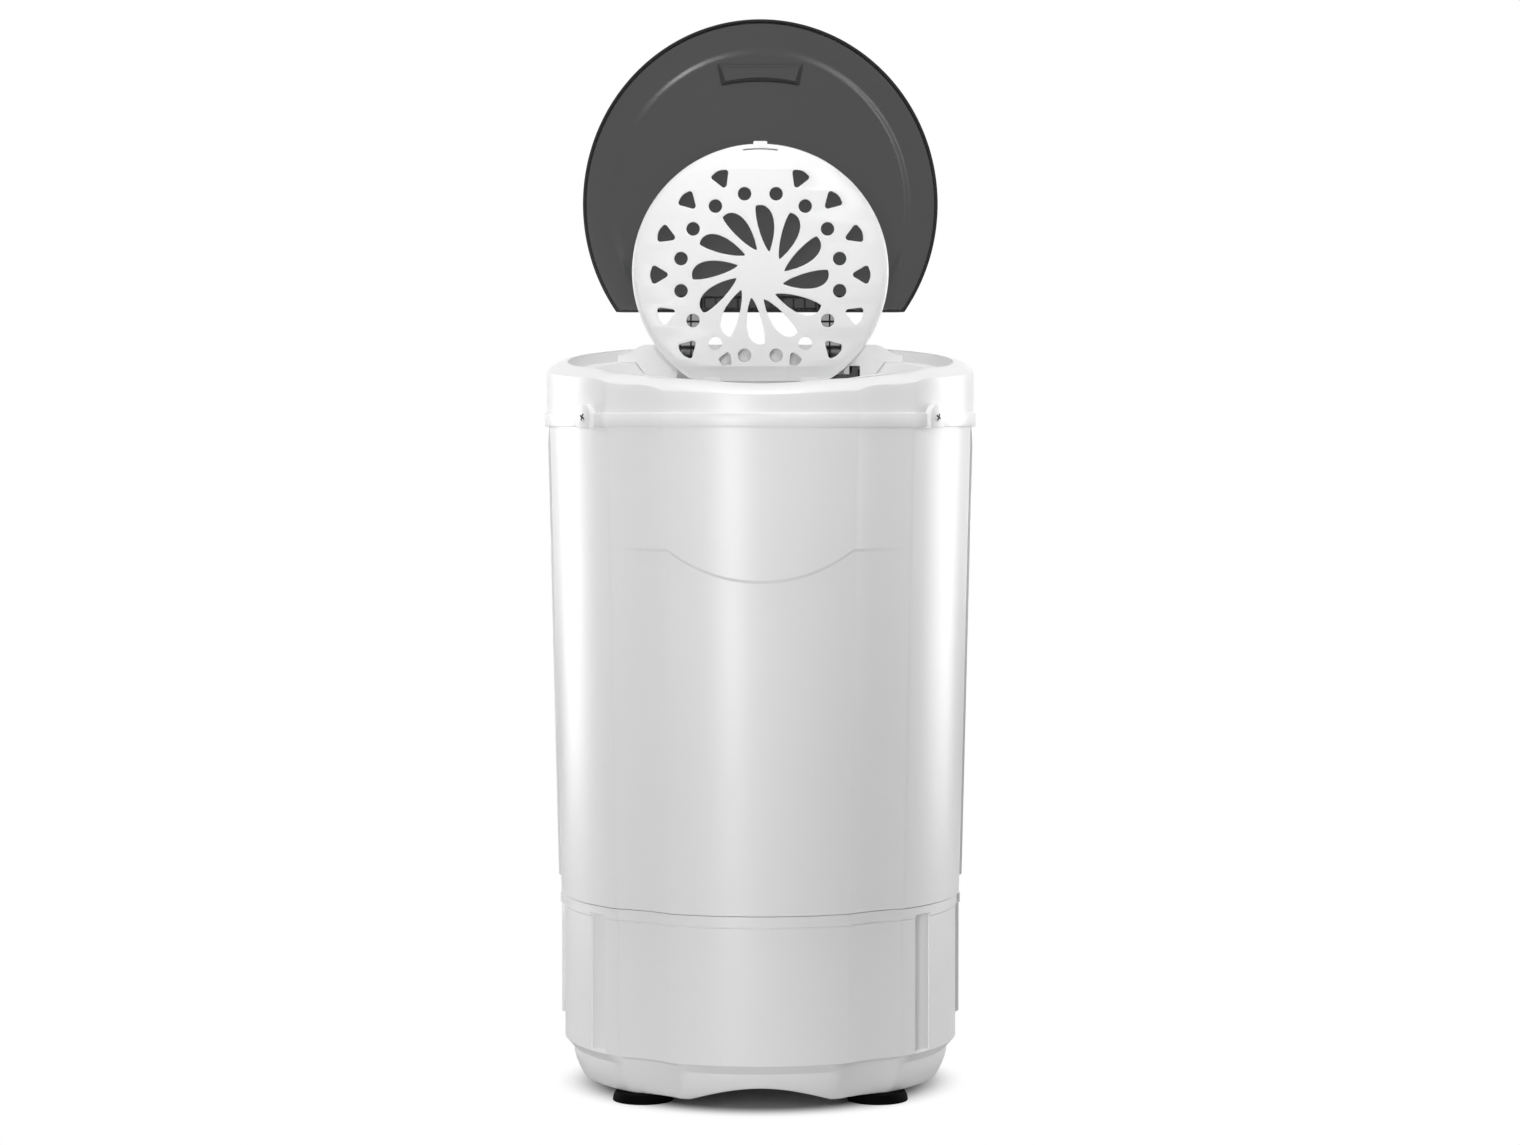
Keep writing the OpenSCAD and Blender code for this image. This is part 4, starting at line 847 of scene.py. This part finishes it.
LID_HINGE = Vector((0, 0.142, 0.670))
LID_CENTRE = 0.1412
LID_CHORD = 0.1028
LID_LOW, LID_TOP = -0.0052, 0.0033
LID_STEP_RADIUS, LID_STEP = 0.134, 0.0015
EDGE_COVER, BOX_COVER, WEB_COVER = 0.97, 0.6, 0.45  # share of light that a face holds back


def lid_ring(radius, inset, w, lids, steps):
    """A ring of the lid's outline, cut straight a given inset within its rear edge."""
    ring = []
    for t in steps:
        x, v = radius * math.cos(t), radius * lids.lid_stretch * math.sin(t)
        if v > LID_CHORD - inset:
            x, v = x * (LID_CHORD - inset) / v, LID_CHORD - inset
        ring.append((x, v - LID_CENTRE, w))
    return ring


def pocket_ring(grow, w):
    """A ring of the finger pocket's outline, grown outwards by a distance."""
    near, far, bow = 0.1315 + grow, 0.1154 - grow, 0.0038
    ring = [((0.039 + grow) * k / 4, -LID_CENTRE - near, w) for k in range(-4, 5)]
    ring += [((0.035 + grow) * k / 8, -LID_CENTRE - far - bow * (1 - (k / 8) ** 2), w)
             for k in range(8, -9, -1)]
    return ring


def fill(bm, outer, holes, cover, layer):
    """Fills a flat ring of vertices round holes."""
    edges = [outer, *holes]
    corners = [v for edge in edges for v in edge]
    for face in tessellate_polygon([[v.co for v in edge] for edge in edges]):
        if len({corners[i] for i in face}) == 3:
            try:
                bm.faces.new([corners[i] for i in face])[layer] = cover
            except ValueError:
                pass


def strip(bm, one, two, cover, layer):
    """Joins two rings of vertices by a band of faces."""
    for k in range(len(one)):
        n = (k + 1) % len(one)
        face = bm.faces.new((one[k], one[n], two[n], two[k]))
        face[layer] = cover


def lid_plate(lids):
    """The smoked plate with its step, rounded edge, side wall and finger pocket."""
    r, wall, top, low = lids.lid_radius, lids.lid_wall, LID_TOP - LID_STEP, LID_LOW
    steps = {2 * math.pi * k / 240 for k in range(240)}
    for radius in (r, r - 0.005, r - wall, LID_STEP_RADIUS):
        corner = math.asin(LID_CHORD / radius / lids.lid_stretch)
        steps |= {corner, math.pi - corner}
    steps = sorted(steps)
    plate, edge = lids.cover, EDGE_COVER
    outside = [(LID_STEP_RADIUS, 0.0004, LID_TOP, plate),
               (LID_STEP_RADIUS + 0.0015, 0.0002, top, plate)]
    outside += [(r - 0.005 * (1 - math.sin(a)), 0, top - 0.005 * (1 - math.cos(a)), cover)
                for a, cover in ((0, plate), (0.4, plate), (0.8, edge), (1.2, edge),
                                 (math.pi / 2, edge))]
    outside += [(r, 0, low + 0.0005, edge), (r - 0.0005, 0.0005, low, edge),
                (r - wall + 0.0005, wall - 0.0005, low, edge),
                (r - wall, wall, low + 0.0005, edge), (r - wall, wall, top - wall - 0.0012, edge),
                (r - wall - 0.0012, wall + 0.0012, top - wall, plate),
                (LID_STEP_RADIUS + 0.0100, wall + 0.0012, top - wall, plate)]
    outside += [(LID_STEP_RADIUS + 0.0100 - 0.0008 * k, wall + 0.0012,
                 top - wall + LID_STEP * (1 - math.cos(math.pi * k / 10)) / 2, plate)
                for k in range(2, 11, 2)]
    bm = bmesh.new()
    layer = bm.faces.layers.float.new("cover")
    rings = [[bm.verts.new(p) for p in lid_ring(radius, inset, w, lids, steps)]
             for radius, inset, w, _ in outside]
    for (one, two), spec in zip(zip(rings, rings[1:]), outside[1:]):
        strip(bm, one, two, spec[3], layer)
    floor = LID_LOW + 0.0024
    for deep, levels in ((rings[0], ((0, LID_TOP), (-0.0004, floor))),
                         (rings[-1], ((0.002, LID_TOP - wall), (0.0016, LID_LOW + 0.0004)))):
        walls = [[bm.verts.new(p) for p in pocket_ring(grow, w)] for grow, w in levels]
        brink = [bm.verts.new(p) for p in pocket_ring(levels[1][0] - 0.0013, levels[1][1])]
        fill(bm, deep, [walls[0]], plate, layer)
        strip(bm, *walls, edge, layer)
        strip(bm, walls[1], brink, edge, layer)
        fill(bm, brink, [], plate, layer)
        for line in (walls[1], brink):  # the side at the tip of the lid stays pale
            set_cover(line[1:8], layer, plate)
    return bm, layer


def set_cover(verts, layer, cover):
    """Sets the share of light that the faces at some vertices hold back."""
    for face in {f for v in verts for f in v.link_faces}:
        face[layer] = cover


def lid_bar(bm, layer, low, high, cover):
    """A straight bar of the lid's ribs."""
    set_cover(add_cube(bm, low, high), layer, cover)


def lid_ribs(bm, layer):
    """The box along the straight edge and the two ladder arms with their hooks."""
    edge, reach, thick, cell, cells = LID_CHORD - LID_CENTRE, 0.054, 0.0016, 0.0106, 10
    low, high = LID_LOW + 0.001, 0.0009
    for v in (edge - 0.004, edge - 0.015):
        lid_bar(bm, layer, (-reach, v, low), (reach, v + thick, high), BOX_COVER)
    for k in range(cells + 1):
        x = -reach + cell * k
        lid_bar(bm, layer, (x, edge - 0.0134, low), (x + thick, edge - 0.004, high), BOX_COVER)
    arm, half, rib, pitch, far, near = 0.066, 0.011, 0.0014, 0.0119, -0.054, -0.004
    low, high = LID_LOW + 0.0005, LID_TOP - 0.001
    for x in (-arm, arm):
        lid_bar(bm, layer, (x - half + 0.0002, far, high - 0.002),
                (x + half - 0.0002, near, high - 0.0002), WEB_COVER)
        for across in (-half, -rib / 2, half - rib):
            lid_bar(bm, layer, (x + across, far, low), (x + across + rib, near, high), EDGE_COVER)
            lid_hook(bm, layer, x + across, rib, EDGE_COVER)
        for k in range(1, 5):
            v = -0.0064 - pitch * k
            lid_bar(bm, layer, (x - half + 0.0005, v, low + 0.0002),
                    (x + half - 0.0005, v + rib, high - 0.0001), EDGE_COVER)
        lid_hook(bm, layer, x - half + 0.0003, 2 * half - 0.0006, WEB_COVER, 0.0057)


def lid_hook(bm, layer, x, width, cover, radius=0.006):
    """A disc of the barrel round the hinge pin."""
    made = bmesh.ops.create_cone(bm, cap_ends=True, segments=36, radius1=radius, radius2=radius,
                                 depth=width, matrix=Matrix.Translation((x + width / 2, 0, 0))
                                 @ Matrix.Rotation(math.pi / 2, 4, "Y"))
    set_cover(made["verts"], layer, cover)


class SPINDRYER_OT_outer_lid(Operator):
    """Build the smoked outer lid, standing open"""

    bl_idname = "spin_dryer.outer_lid"
    bl_label = "Outer lid"

    def execute(self, context):
        lids = context.scene.spin_dryer_lids
        bm, layer = lid_plate(lids)
        bmesh.ops.remove_doubles(bm, verts=bm.verts, dist=1e-6)
        lid_ribs(bm, layer)
        bmesh.ops.recalc_face_normals(bm, faces=bm.faces)
        bm.transform(Matrix.Translation(LID_HINGE)
                     @ Matrix.Rotation(-math.pi / 2 - lids.lean, 4, "X"))
        mesh = from_bmesh("smoked_lid", bm)
        finish_mesh(mesh, sharp=25.0, outward=False)
        add_piece("smoked_lid", mesh, "outer_lid", "smoked_plastic", "outer_lid")
        return {"FINISHED"}


# ---- inner lid ----
# Drawn closed round its own middle, with its underside at z = 0.

INNER_CENTRE = 0.112
INNER_UNDER = 0.005


def inner_outline(radius, flat, corner, z):
    """A circle cut straight at the hinge side, with round corners."""
    cy = flat - corner
    cx = math.sqrt((radius - corner) ** 2 - cy ** 2)
    turn = math.atan2(cy, cx)
    half = [(radius * math.cos(a), radius * math.sin(a))
            for a in [-math.pi / 2 + (turn + math.pi / 2) * k / 56 for k in range(57)]]
    half += [(cx + corner * math.cos(a), cy + corner * math.sin(a))
             for a in [turn + (math.pi / 2 - turn) * k / 10 for k in range(1, 11)]]
    return [(x, y, z) for x, y in half] + [(-x, y, z) for x, y in half[:0:-1]]


def turned(points, angle, at=(0.0, 0.0)):
    """Points moved by a step, then turned about the middle by an angle in degrees."""
    c, s = math.cos(math.radians(angle)), math.sin(math.radians(angle))
    return [((x + at[0]) * c - (y + at[1]) * s, (x + at[0]) * s + (y + at[1]) * c)
            for x, y in points]


def petal():
    """A swirling petal: a little full on one side and round on the other."""
    size, full, slack, lean, foot = 0.0448, 0.0123, 0.0038, -16.5, (0.0216, 0.0088)
    peak = 0.416  # about the highest value that the round side's curve reaches
    shares = [(1 - math.cos(math.pi * k / 20)) / 2 for k in range(21)]
    round_side = [(size * s, full * s ** 0.95 * (1 - s) ** 0.45 / peak) for s in shares]
    slack_side = [(size * s, -slack * math.sin(math.pi * s) ** 0.55) for s in shares[-2:0:-1]]
    return turned(turned(round_side + slack_side, lean), 0, foot)


def triangle(size):
    """A triangle with round corners and a full outer side, its point towards the middle."""
    corner, full, bow, points = 0.0028, 0.0014, 0.0016, []
    for k in range(3):
        c = math.radians(60 + 120 * k)
        for j in range(-3, 4):
            a = c + math.radians(20 * j)
            points.append((size * math.cos(c) + corner * math.cos(a),
                           size * math.sin(c) + corner * math.sin(a)))
    outer = size / 2 + corner
    return points + [(outer + full - bow * y ** 2, y * size) for y in (-0.5, 0, 0.5)]


def inner_holes(lids):
    """The rosette, its rings of round and triangular holes, and the latch's slot."""
    hole, far = 0.0064, 0.077  # radius of a round hole, and of the ring that they stand in
    slot, slot_turn = (0.117, 0.115), 16  # the slot's two sides, and its length in degrees
    narrow, stretch, up = 0.989, 1.012, 0.0034  # how the pattern is fitted to the plate
    found = [turned(petal(), 360 / lids.petals * k) for k in range(lids.petals)]
    circle = [(hole * math.cos(math.pi * k / 14), hole * math.sin(math.pi * k / 14))
              for k in range(28)]
    step, rear, front = 360 / lids.holes, lids.holes // 4, 3 * lids.holes // 4
    for k in range(lids.holes):
        found.append(turned(circle, step * (k + 0.5), (far, 0)))
        if k not in (rear, front):
            size, reach = (0.0038, 0.0855) if abs(k - rear) == 1 else (0.0065, 0.0975)
            found.append(turned(triangle(size), step * k, (reach, 0)))
    found = [[(x * narrow, y * stretch + up) for x, y in shape] for shape in found]
    arc = [math.radians(FRONT - slot_turn / 2 + slot_turn * k / 12) for k in range(13)]
    return found + [[(r * math.cos(a), r * math.sin(a))
                     for r, turns in zip(slot, (arc, arc[::-1])) for a in turns]]


def widened(points, by):
    """A closed outline with every point moved outwards."""
    area = sum(a[0] * b[1] - b[0] * a[1] for a, b in zip(points, points[1:] + points[:1]))
    side = math.copysign(by, area)
    out = []
    for before, here, after in zip(points[-1:] + points[:-1], points, points[1:] + points[:1]):
        along = Vector(after) - Vector(before)
        along.normalize()
        out.append((here[0] + along.y * side, here[1] - along.x * side))
    return out


class SPINDRYER_OT_inner_lid(Operator):
    """Build the perforated inner lid, standing open"""

    bl_idname = "spin_dryer.inner_lid"
    bl_label = "Inner lid"

    def execute(self, context):
        lids = context.scene.spin_dryer_lids
        r, plate, rim, soft = lids.inner_radius, lids.plate, 0.0046, 0.00035
        tab, lug, barrel = 0.0065, 0.008, 0.0044  # half widths of tab and lug, radius of lug's end
        bm = bmesh.new()
        layer = bm.faces.layers.float.new("cover")
        outer, inner = 0.024, 0.022  # radius of the corners outside and inside the rim
        sections = [(r - 0.0045, 0.0910, outer, 0), (r - 0.004, 0.0915, outer, 0.0003),
                    (r - 0.0022, 0.0960, outer, 0.0016), (r - 0.0008, 0.1004, outer, 0.003),
                    (r - 0.0001, 0.1034, outer, 0.0041), (r - 0.0002, 0.1036, outer, rim - 0.0002),
                    (r - 0.0008, 0.1031, outer, rim), (r - 0.0042, 0.0914, inner, rim),
                    (r - 0.0046, 0.0912, inner, rim - 0.0004), (r - 0.0048, 0.0911, inner, plate)]
        rings = [[bm.verts.new(p) for p in inner_outline(*section)] for section in sections]
        for one, two in zip(rings, rings[1:]):
            strip(bm, one, two, 1, layer)
        fronts, backs = [], []
        for hole in inner_holes(lids):
            levels = [(soft, 0), (0, soft), (0, plate - soft), (soft, plate)]
            walls = [[bm.verts.new((*p, z)) for p in widened(hole, grow)] for grow, z in levels]
            for one, two in zip(walls, walls[1:]):
                strip(bm, one, two, 1, layer)
            fronts.append(walls[0])
            backs.append(walls[-1])
        fill(bm, rings[0], fronts, 1, layer)
        fill(bm, rings[-1], backs, 1, layer)
        bmesh.ops.remove_doubles(bm, verts=bm.verts, dist=1e-6)
        parts = [from_bmesh("plate", bm),
                 box_mesh("tab", (-tab, -r - 0.002, 0.0006), (tab, -r + 0.004, 0.0042), 0.0006)]
        for x in (-INNER_ARM, INNER_ARM):
            parts.append(box_mesh("lug", (x - lug, 0.092, 0.0028), (x + lug, 0.110, 0.0064)))
            parts.append(rod_mesh("lug", (x - lug, INNER_CENTRE, INNER_UNDER),
                                  (x + lug, INNER_CENTRE, INNER_UNDER), barrel))
        whole = join("perforated_lid", *parts)
        whole.transform(Matrix.Translation(INNER_HINGE)
                        @ Matrix.Rotation(-math.pi / 2 - lids.inner_lean, 4, "X")
                        @ Matrix.Translation((0, -INNER_CENTRE, -INNER_UNDER)))
        finish_mesh(whole)
        add_piece("perforated_lid", whole, "inner_lid", "white_plastic", "inner_lid")
        return {"FINISHED"}


# ---- screws and feet ----


class SPINDRYER_OT_screws(Operator):
    """Build the four white cross-slotted screws of the cover, with painted shade inside each cross
    """

    bl_idname = "spin_dryer.screws"
    bl_label = "Screws"

    def execute(self, context):
        head, rise = context.scene.spin_dryer_trim.screw_radius, 0.0012
        arm, slot, shank, end = 0.0029, 0.0008, 0.002, -0.014
        profile = [(0.0, rise), (head * 0.45, rise), (head * 0.8, rise * 0.86),
                   (head * 0.97, rise * 0.5), (head, 0.0003), (head - 0.0002, 0),
                   (shank, 0), (shank, end + 0.001), (0.0008, end), (0.0, end)]
        screw = lathe_mesh("screw", profile, 40)
        finish_mesh(screw)
        screw = carve(screw, *[box_mesh("slot", (-u, -v, 0.0002), (u, v, 0.003), 0.0001)
                               for u, v in ((arm, slot), (slot, arm))])
        screw.transform(Matrix.Translation((SCREW_FACE, 0, 0))
                        @ Matrix.Rotation(math.pi / 2, 4, "Y"))
        ring = ring_of(screw, finish("coated_steel"), count=4, step=math.pi,
                       first_angle=math.radians(SCREW_ANGLES[0]),
                       pair_gap=math.radians(SCREW_ANGLES[2] - SCREW_ANGLES[0]),
                       height=SCREW_Z, random_spin=1.2, seed=3)
        finish_mesh(ring)
        add_piece("cover_screw_set", ring, "housing", "screw_steel", "cover_screws",
                  look="coated_steel")
        # The cross recess of each white screw gets the dark plastic finish: this is painted shade
        # inside the cross.
        ring.materials.append(finish("dark_plastic"))
        for side in ring.polygons:  # the cross is dark inside
            x, y, z = side.center
            for a in map(math.radians, SCREW_ANGLES):
                out, across = x * math.cos(a) + y * math.sin(a), y * math.cos(a) - x * math.sin(a)
                if (math.hypot(across, z - SCREW_Z) < arm + 0.0003
                        and SCREW_FACE + 0.0001 < out < SCREW_FACE + rise - 0.0001):
                    side.material_index = 1
        return {"FINISHED"}


class SPINDRYER_OT_feet(Operator):
    """Build the four ribbed rubber feet"""

    bl_idname = "spin_dryer.feet"
    bl_label = "Feet"

    def execute(self, context):
        trim = context.scene.spin_dryer_trim
        r, top, stem, stem_top = trim.foot_radius, 0.0084, 0.024, 0.022
        stem_reach = 0.1515  # farthest that a stem stands from the axis, inside the base
        rib_low, rib_half, rib_lean = 0.0012, 0.00045, 0.22
        at = Vector((0.1045, 0.102))
        profile = [(0.007, 0.0), (r - 0.0012, 0.0), (r - 0.0004, 0.0003), (r, 0.0009),
                   (r - 0.0001, 0.0018), (r - 0.0005, 0.004), (r - 0.0013, 0.0064),
                   (r - 0.0022, top - 0.0004), (r - 0.0028, top), (stem + 0.0002, top),
                   (stem, top + 0.0004), (stem, stem_top - 0.0005), (stem - 0.0005, stem_top),
                   (0.0026, stem_top), (0.0026, 0.011), (0.0066, 0.011), (0.007, 0.0106)]
        pad = lathe_mesh("pad", profile)
        for v in pad.vertices:
            spot_at = v.co.xy + at
            if v.co.z > top + 0.0002 and spot_at.length > stem_reach:
                v.co.xy = spot_at * stem_reach / spot_at.length - at
        rib = box_mesh("rib", (r - 0.0022, -rib_half, rib_low), (r - 0.00005, rib_half, 0.0060),
                       0.0002)
        for v in rib.vertices:  # the ribs lean in with the pad's side
            v.co.x -= max(v.co.z - rib_low, 0) * rib_lean
        rubber = finish("black_rubber")
        ribs = ring_of(rib, rubber, count=trim.ribs, step=4 * math.pi / trim.ribs,
                       pair_gap=2 * math.pi / trim.ribs)
        foot = join("foot", pad, ribs)
        turn = math.atan2(at.y, at.x)
        foot.transform(Matrix.Rotation(-turn, 4, "Z") @ Matrix.Translation((*at, 0)))
        feet = ring_of(foot, rubber, count=4, step=math.pi, first_angle=turn,
                       pair_gap=math.pi - 2 * turn)
        finish_mesh(feet)
        add_piece("rubber_feet", feet, "housing", "black_rubber", "foot_front_left",
                  "foot_front_right", "foot_rear_left", "foot_rear_right")
        return {"FINISHED"}


# ---- stage ----


class SPINDRYER_OT_stage(Operator):
    """Set the camera, the floor, the background and the lamps"""

    bl_idname = "spin_dryer.stage"
    bl_label = "Stage"

    def execute(self, context):
        stage = context.scene.spin_dryer_stage
        camera = bpy.data.cameras.new("Camera")
        camera.lens = stage.lens
        camera.sensor_width = 36.0
        camera.clip_end = 50.0
        eye = link(bpy.data.objects.new("Camera", camera))
        eye.location = (-0.0003, -stage.distance, stage.eye_height)
        eye.rotation_euler = (math.pi / 2 - stage.pitch, 0, 0)
        context.scene.camera = eye
        context.scene.view_settings.view_transform = "Standard"
        make_floor()
        make_world(stage.ambient)
        lamp("Left lamp", (-2.1, 1.35, 0.75), (0, 0, 0.3), (1.2, 1.5), stage.side_power)
        lamp("Right lamp", (2.1, 1.1, 0.75), (0, 0, 0.3), (1.2, 1.5), stage.side_power)
        lamp("Front lamp", (-0.55, -2.1, 0.52), (0, 0, 0.35), (0.35, 1.0), stage.front_power)
        spot("Glint lamp", (0.4, -1.8, 0.5), (-0.06, 0.13, 0.95), 10, stage.glint_power, 0.08)
        lamp("Low lamp", (0, -1.7, 0.07), (0, 0, 0.03), (1.2, 0.1), stage.low_power)
        spot("Lid lamp", (0.55, -1.9, 1.75), (0, 0.1, 0.80), 26, stage.lid_power)
        spot("Rim lamp", (0, -0.25, 2.7), (0, -0.02, 0.66), 15, stage.rim_power)
        lamp("Top lamp", (0, -0.5, 2.6), (0, 0, 0.6), (1.8, 1.8), stage.top_power)
        return {"FINISHED"}


def add_lamp(name, data, at, aim, watts):
    data.energy = watts
    obj = link(bpy.data.objects.new(name, data))
    obj.location = at
    obj.rotation_euler = (Vector(aim) - Vector(at)).to_track_quat("-Z", "Y").to_euler()


def lamp(name, at, aim, size, watts):
    """A flat soft lamp."""
    data = bpy.data.lights.new(name, "AREA")
    data.shape = "RECTANGLE"
    data.size, data.size_y = size
    add_lamp(name, data, at, aim, watts)


def spot(name, at, aim, cone, watts, soft=0.25):
    """A soft round lamp that lights one part of the machine."""
    data = bpy.data.lights.new(name, "SPOT")
    data.spot_size = math.radians(cone)
    data.spot_blend = 1.0
    data.shadow_soft_size = soft
    add_lamp(name, data, at, aim, watts)


def make_world(strength):
    """A plain grey light, which the camera, gloss and glass see as white."""
    world = bpy.data.worlds.new("Studio")
    bpy.context.scene.world = world
    world.use_nodes = True
    nodes = Nodes(world.node_tree)
    path = nodes.add("ShaderNodeLightPath").outputs
    seen = path["Is Camera Ray"]
    for kind in ("Is Transmission Ray", "Is Glossy Ray"):
        seen = nodes.maths("MAXIMUM", seen, path[kind])
    grey, white = (nodes.add("ShaderNodeBackground", color=(1, 1, 1, 1), strength=s).outputs[0]
                   for s in (strength, 1.0))
    nodes.put(nodes.tree.nodes["World Output"].inputs["Surface"],
              nodes.add("ShaderNodeMixShader", seen, grey, white).outputs[0])


def make_floor():
    """A pale floor: white to the camera away from the machine, and shaded close to it, where it
    takes the machine's real shadow and a fade by distance to white paints the shadow's outer edge.
    """
    half, near, far = 6.0, 0.135, 0.19
    bounce, shaded = (0.58, 0.58, 0.58, 1), (0.5, 0.5, 0.5, 1)
    mesh = bpy.data.meshes.new("Floor")
    mesh.from_pydata([(-half, -half, 0), (half, -half, 0), (half, half, 0), (-half, half, 0)],
                     [], [(0, 1, 2, 3)])
    floor = link(bpy.data.objects.new("Floor", mesh))
    material = bpy.data.materials.new("Pale floor with painted shadow edge")
    material.use_nodes = True
    nodes = Nodes(material.node_tree)
    shader = nodes.tree.nodes["Principled BSDF"]
    for label, value in (("Base Color", bounce), ("Roughness", 0.9), ("Specular IOR Level", 0.0)):
        nodes.put(shader.inputs[label], value)
    # Painted shadow edge: by distance from the machine, the grey diffuse floor that holds the real
    # shadow fades to white emission. The grey close to the machine is therefore partly painted
    # shade.
    where = nodes.add("ShaderNodeTexCoord").outputs["Object"]
    away = nodes.add("ShaderNodeVectorMath", where, operation="LENGTH").outputs["Value"]
    fade = nodes.add("ShaderNodeMapRange", value=away, from_min=near, from_max=far)
    fade.interpolation_type = "SMOOTHSTEP"
    close = nodes.add("ShaderNodeMixShader", fade.outputs[0],
                      nodes.add("ShaderNodeBsdfDiffuse", color=shaded).outputs[0],
                      nodes.add("ShaderNodeEmission").outputs[0])
    seen = nodes.add("ShaderNodeMixShader",
                     nodes.add("ShaderNodeLightPath").outputs["Is Camera Ray"],
                     shader.outputs[0], close.outputs[0])
    nodes.put(nodes.tree.nodes["Material Output"].inputs["Surface"], seen.outputs[0])
    mesh.materials.append(material)


# ---- panel and registration ----


class SPINDRYER_PT_panel(Panel):
    """Lists what builds the spin dryer"""

    bl_idname = "SPINDRYER_PT_panel"
    bl_label = "Spin dryer"
    bl_space_type = "VIEW_3D"
    bl_region_type = "UI"
    bl_category = "Spin Dryer"

    def draw(self, context):
        for kind in OPERATORS:
            self.layout.operator(kind.bl_idname)
        for name in SETTINGS:
            box = self.layout.box()
            group = getattr(context.scene, name)
            for key in group.__annotations__:
                box.prop(group, key)


SETTINGS = {
    "spin_dryer_casing": SpinDryerCasing, "spin_dryer_lids": SpinDryerLids,
    "spin_dryer_trim": SpinDryerTrim, "spin_dryer_stage": SpinDryerStage,
}
OPERATORS = [SPINDRYER_OT_stage, SPINDRYER_OT_finishes, SPINDRYER_OT_body, SPINDRYER_OT_base,
             SPINDRYER_OT_cover, SPINDRYER_OT_outer_lid, SPINDRYER_OT_inner_lid,
             SPINDRYER_OT_screws, SPINDRYER_OT_feet]


def register():
    for kind in (*SETTINGS.values(), *OPERATORS, SPINDRYER_PT_panel):
        bpy.utils.register_class(kind)
    for name, kind in SETTINGS.items():
        setattr(bpy.types.Scene, name, PointerProperty(type=kind))


def unregister():
    for name in SETTINGS:
        delattr(bpy.types.Scene, name)
    for kind in (SPINDRYER_PT_panel, *reversed(OPERATORS), *reversed(SETTINGS.values())):
        bpy.utils.unregister_class(kind)


def main():
    register()
    for kind in OPERATORS:
        group, name = kind.bl_idname.split(".")
        getattr(getattr(bpy.ops, group), name)()


if __name__ == "__main__":
    main()
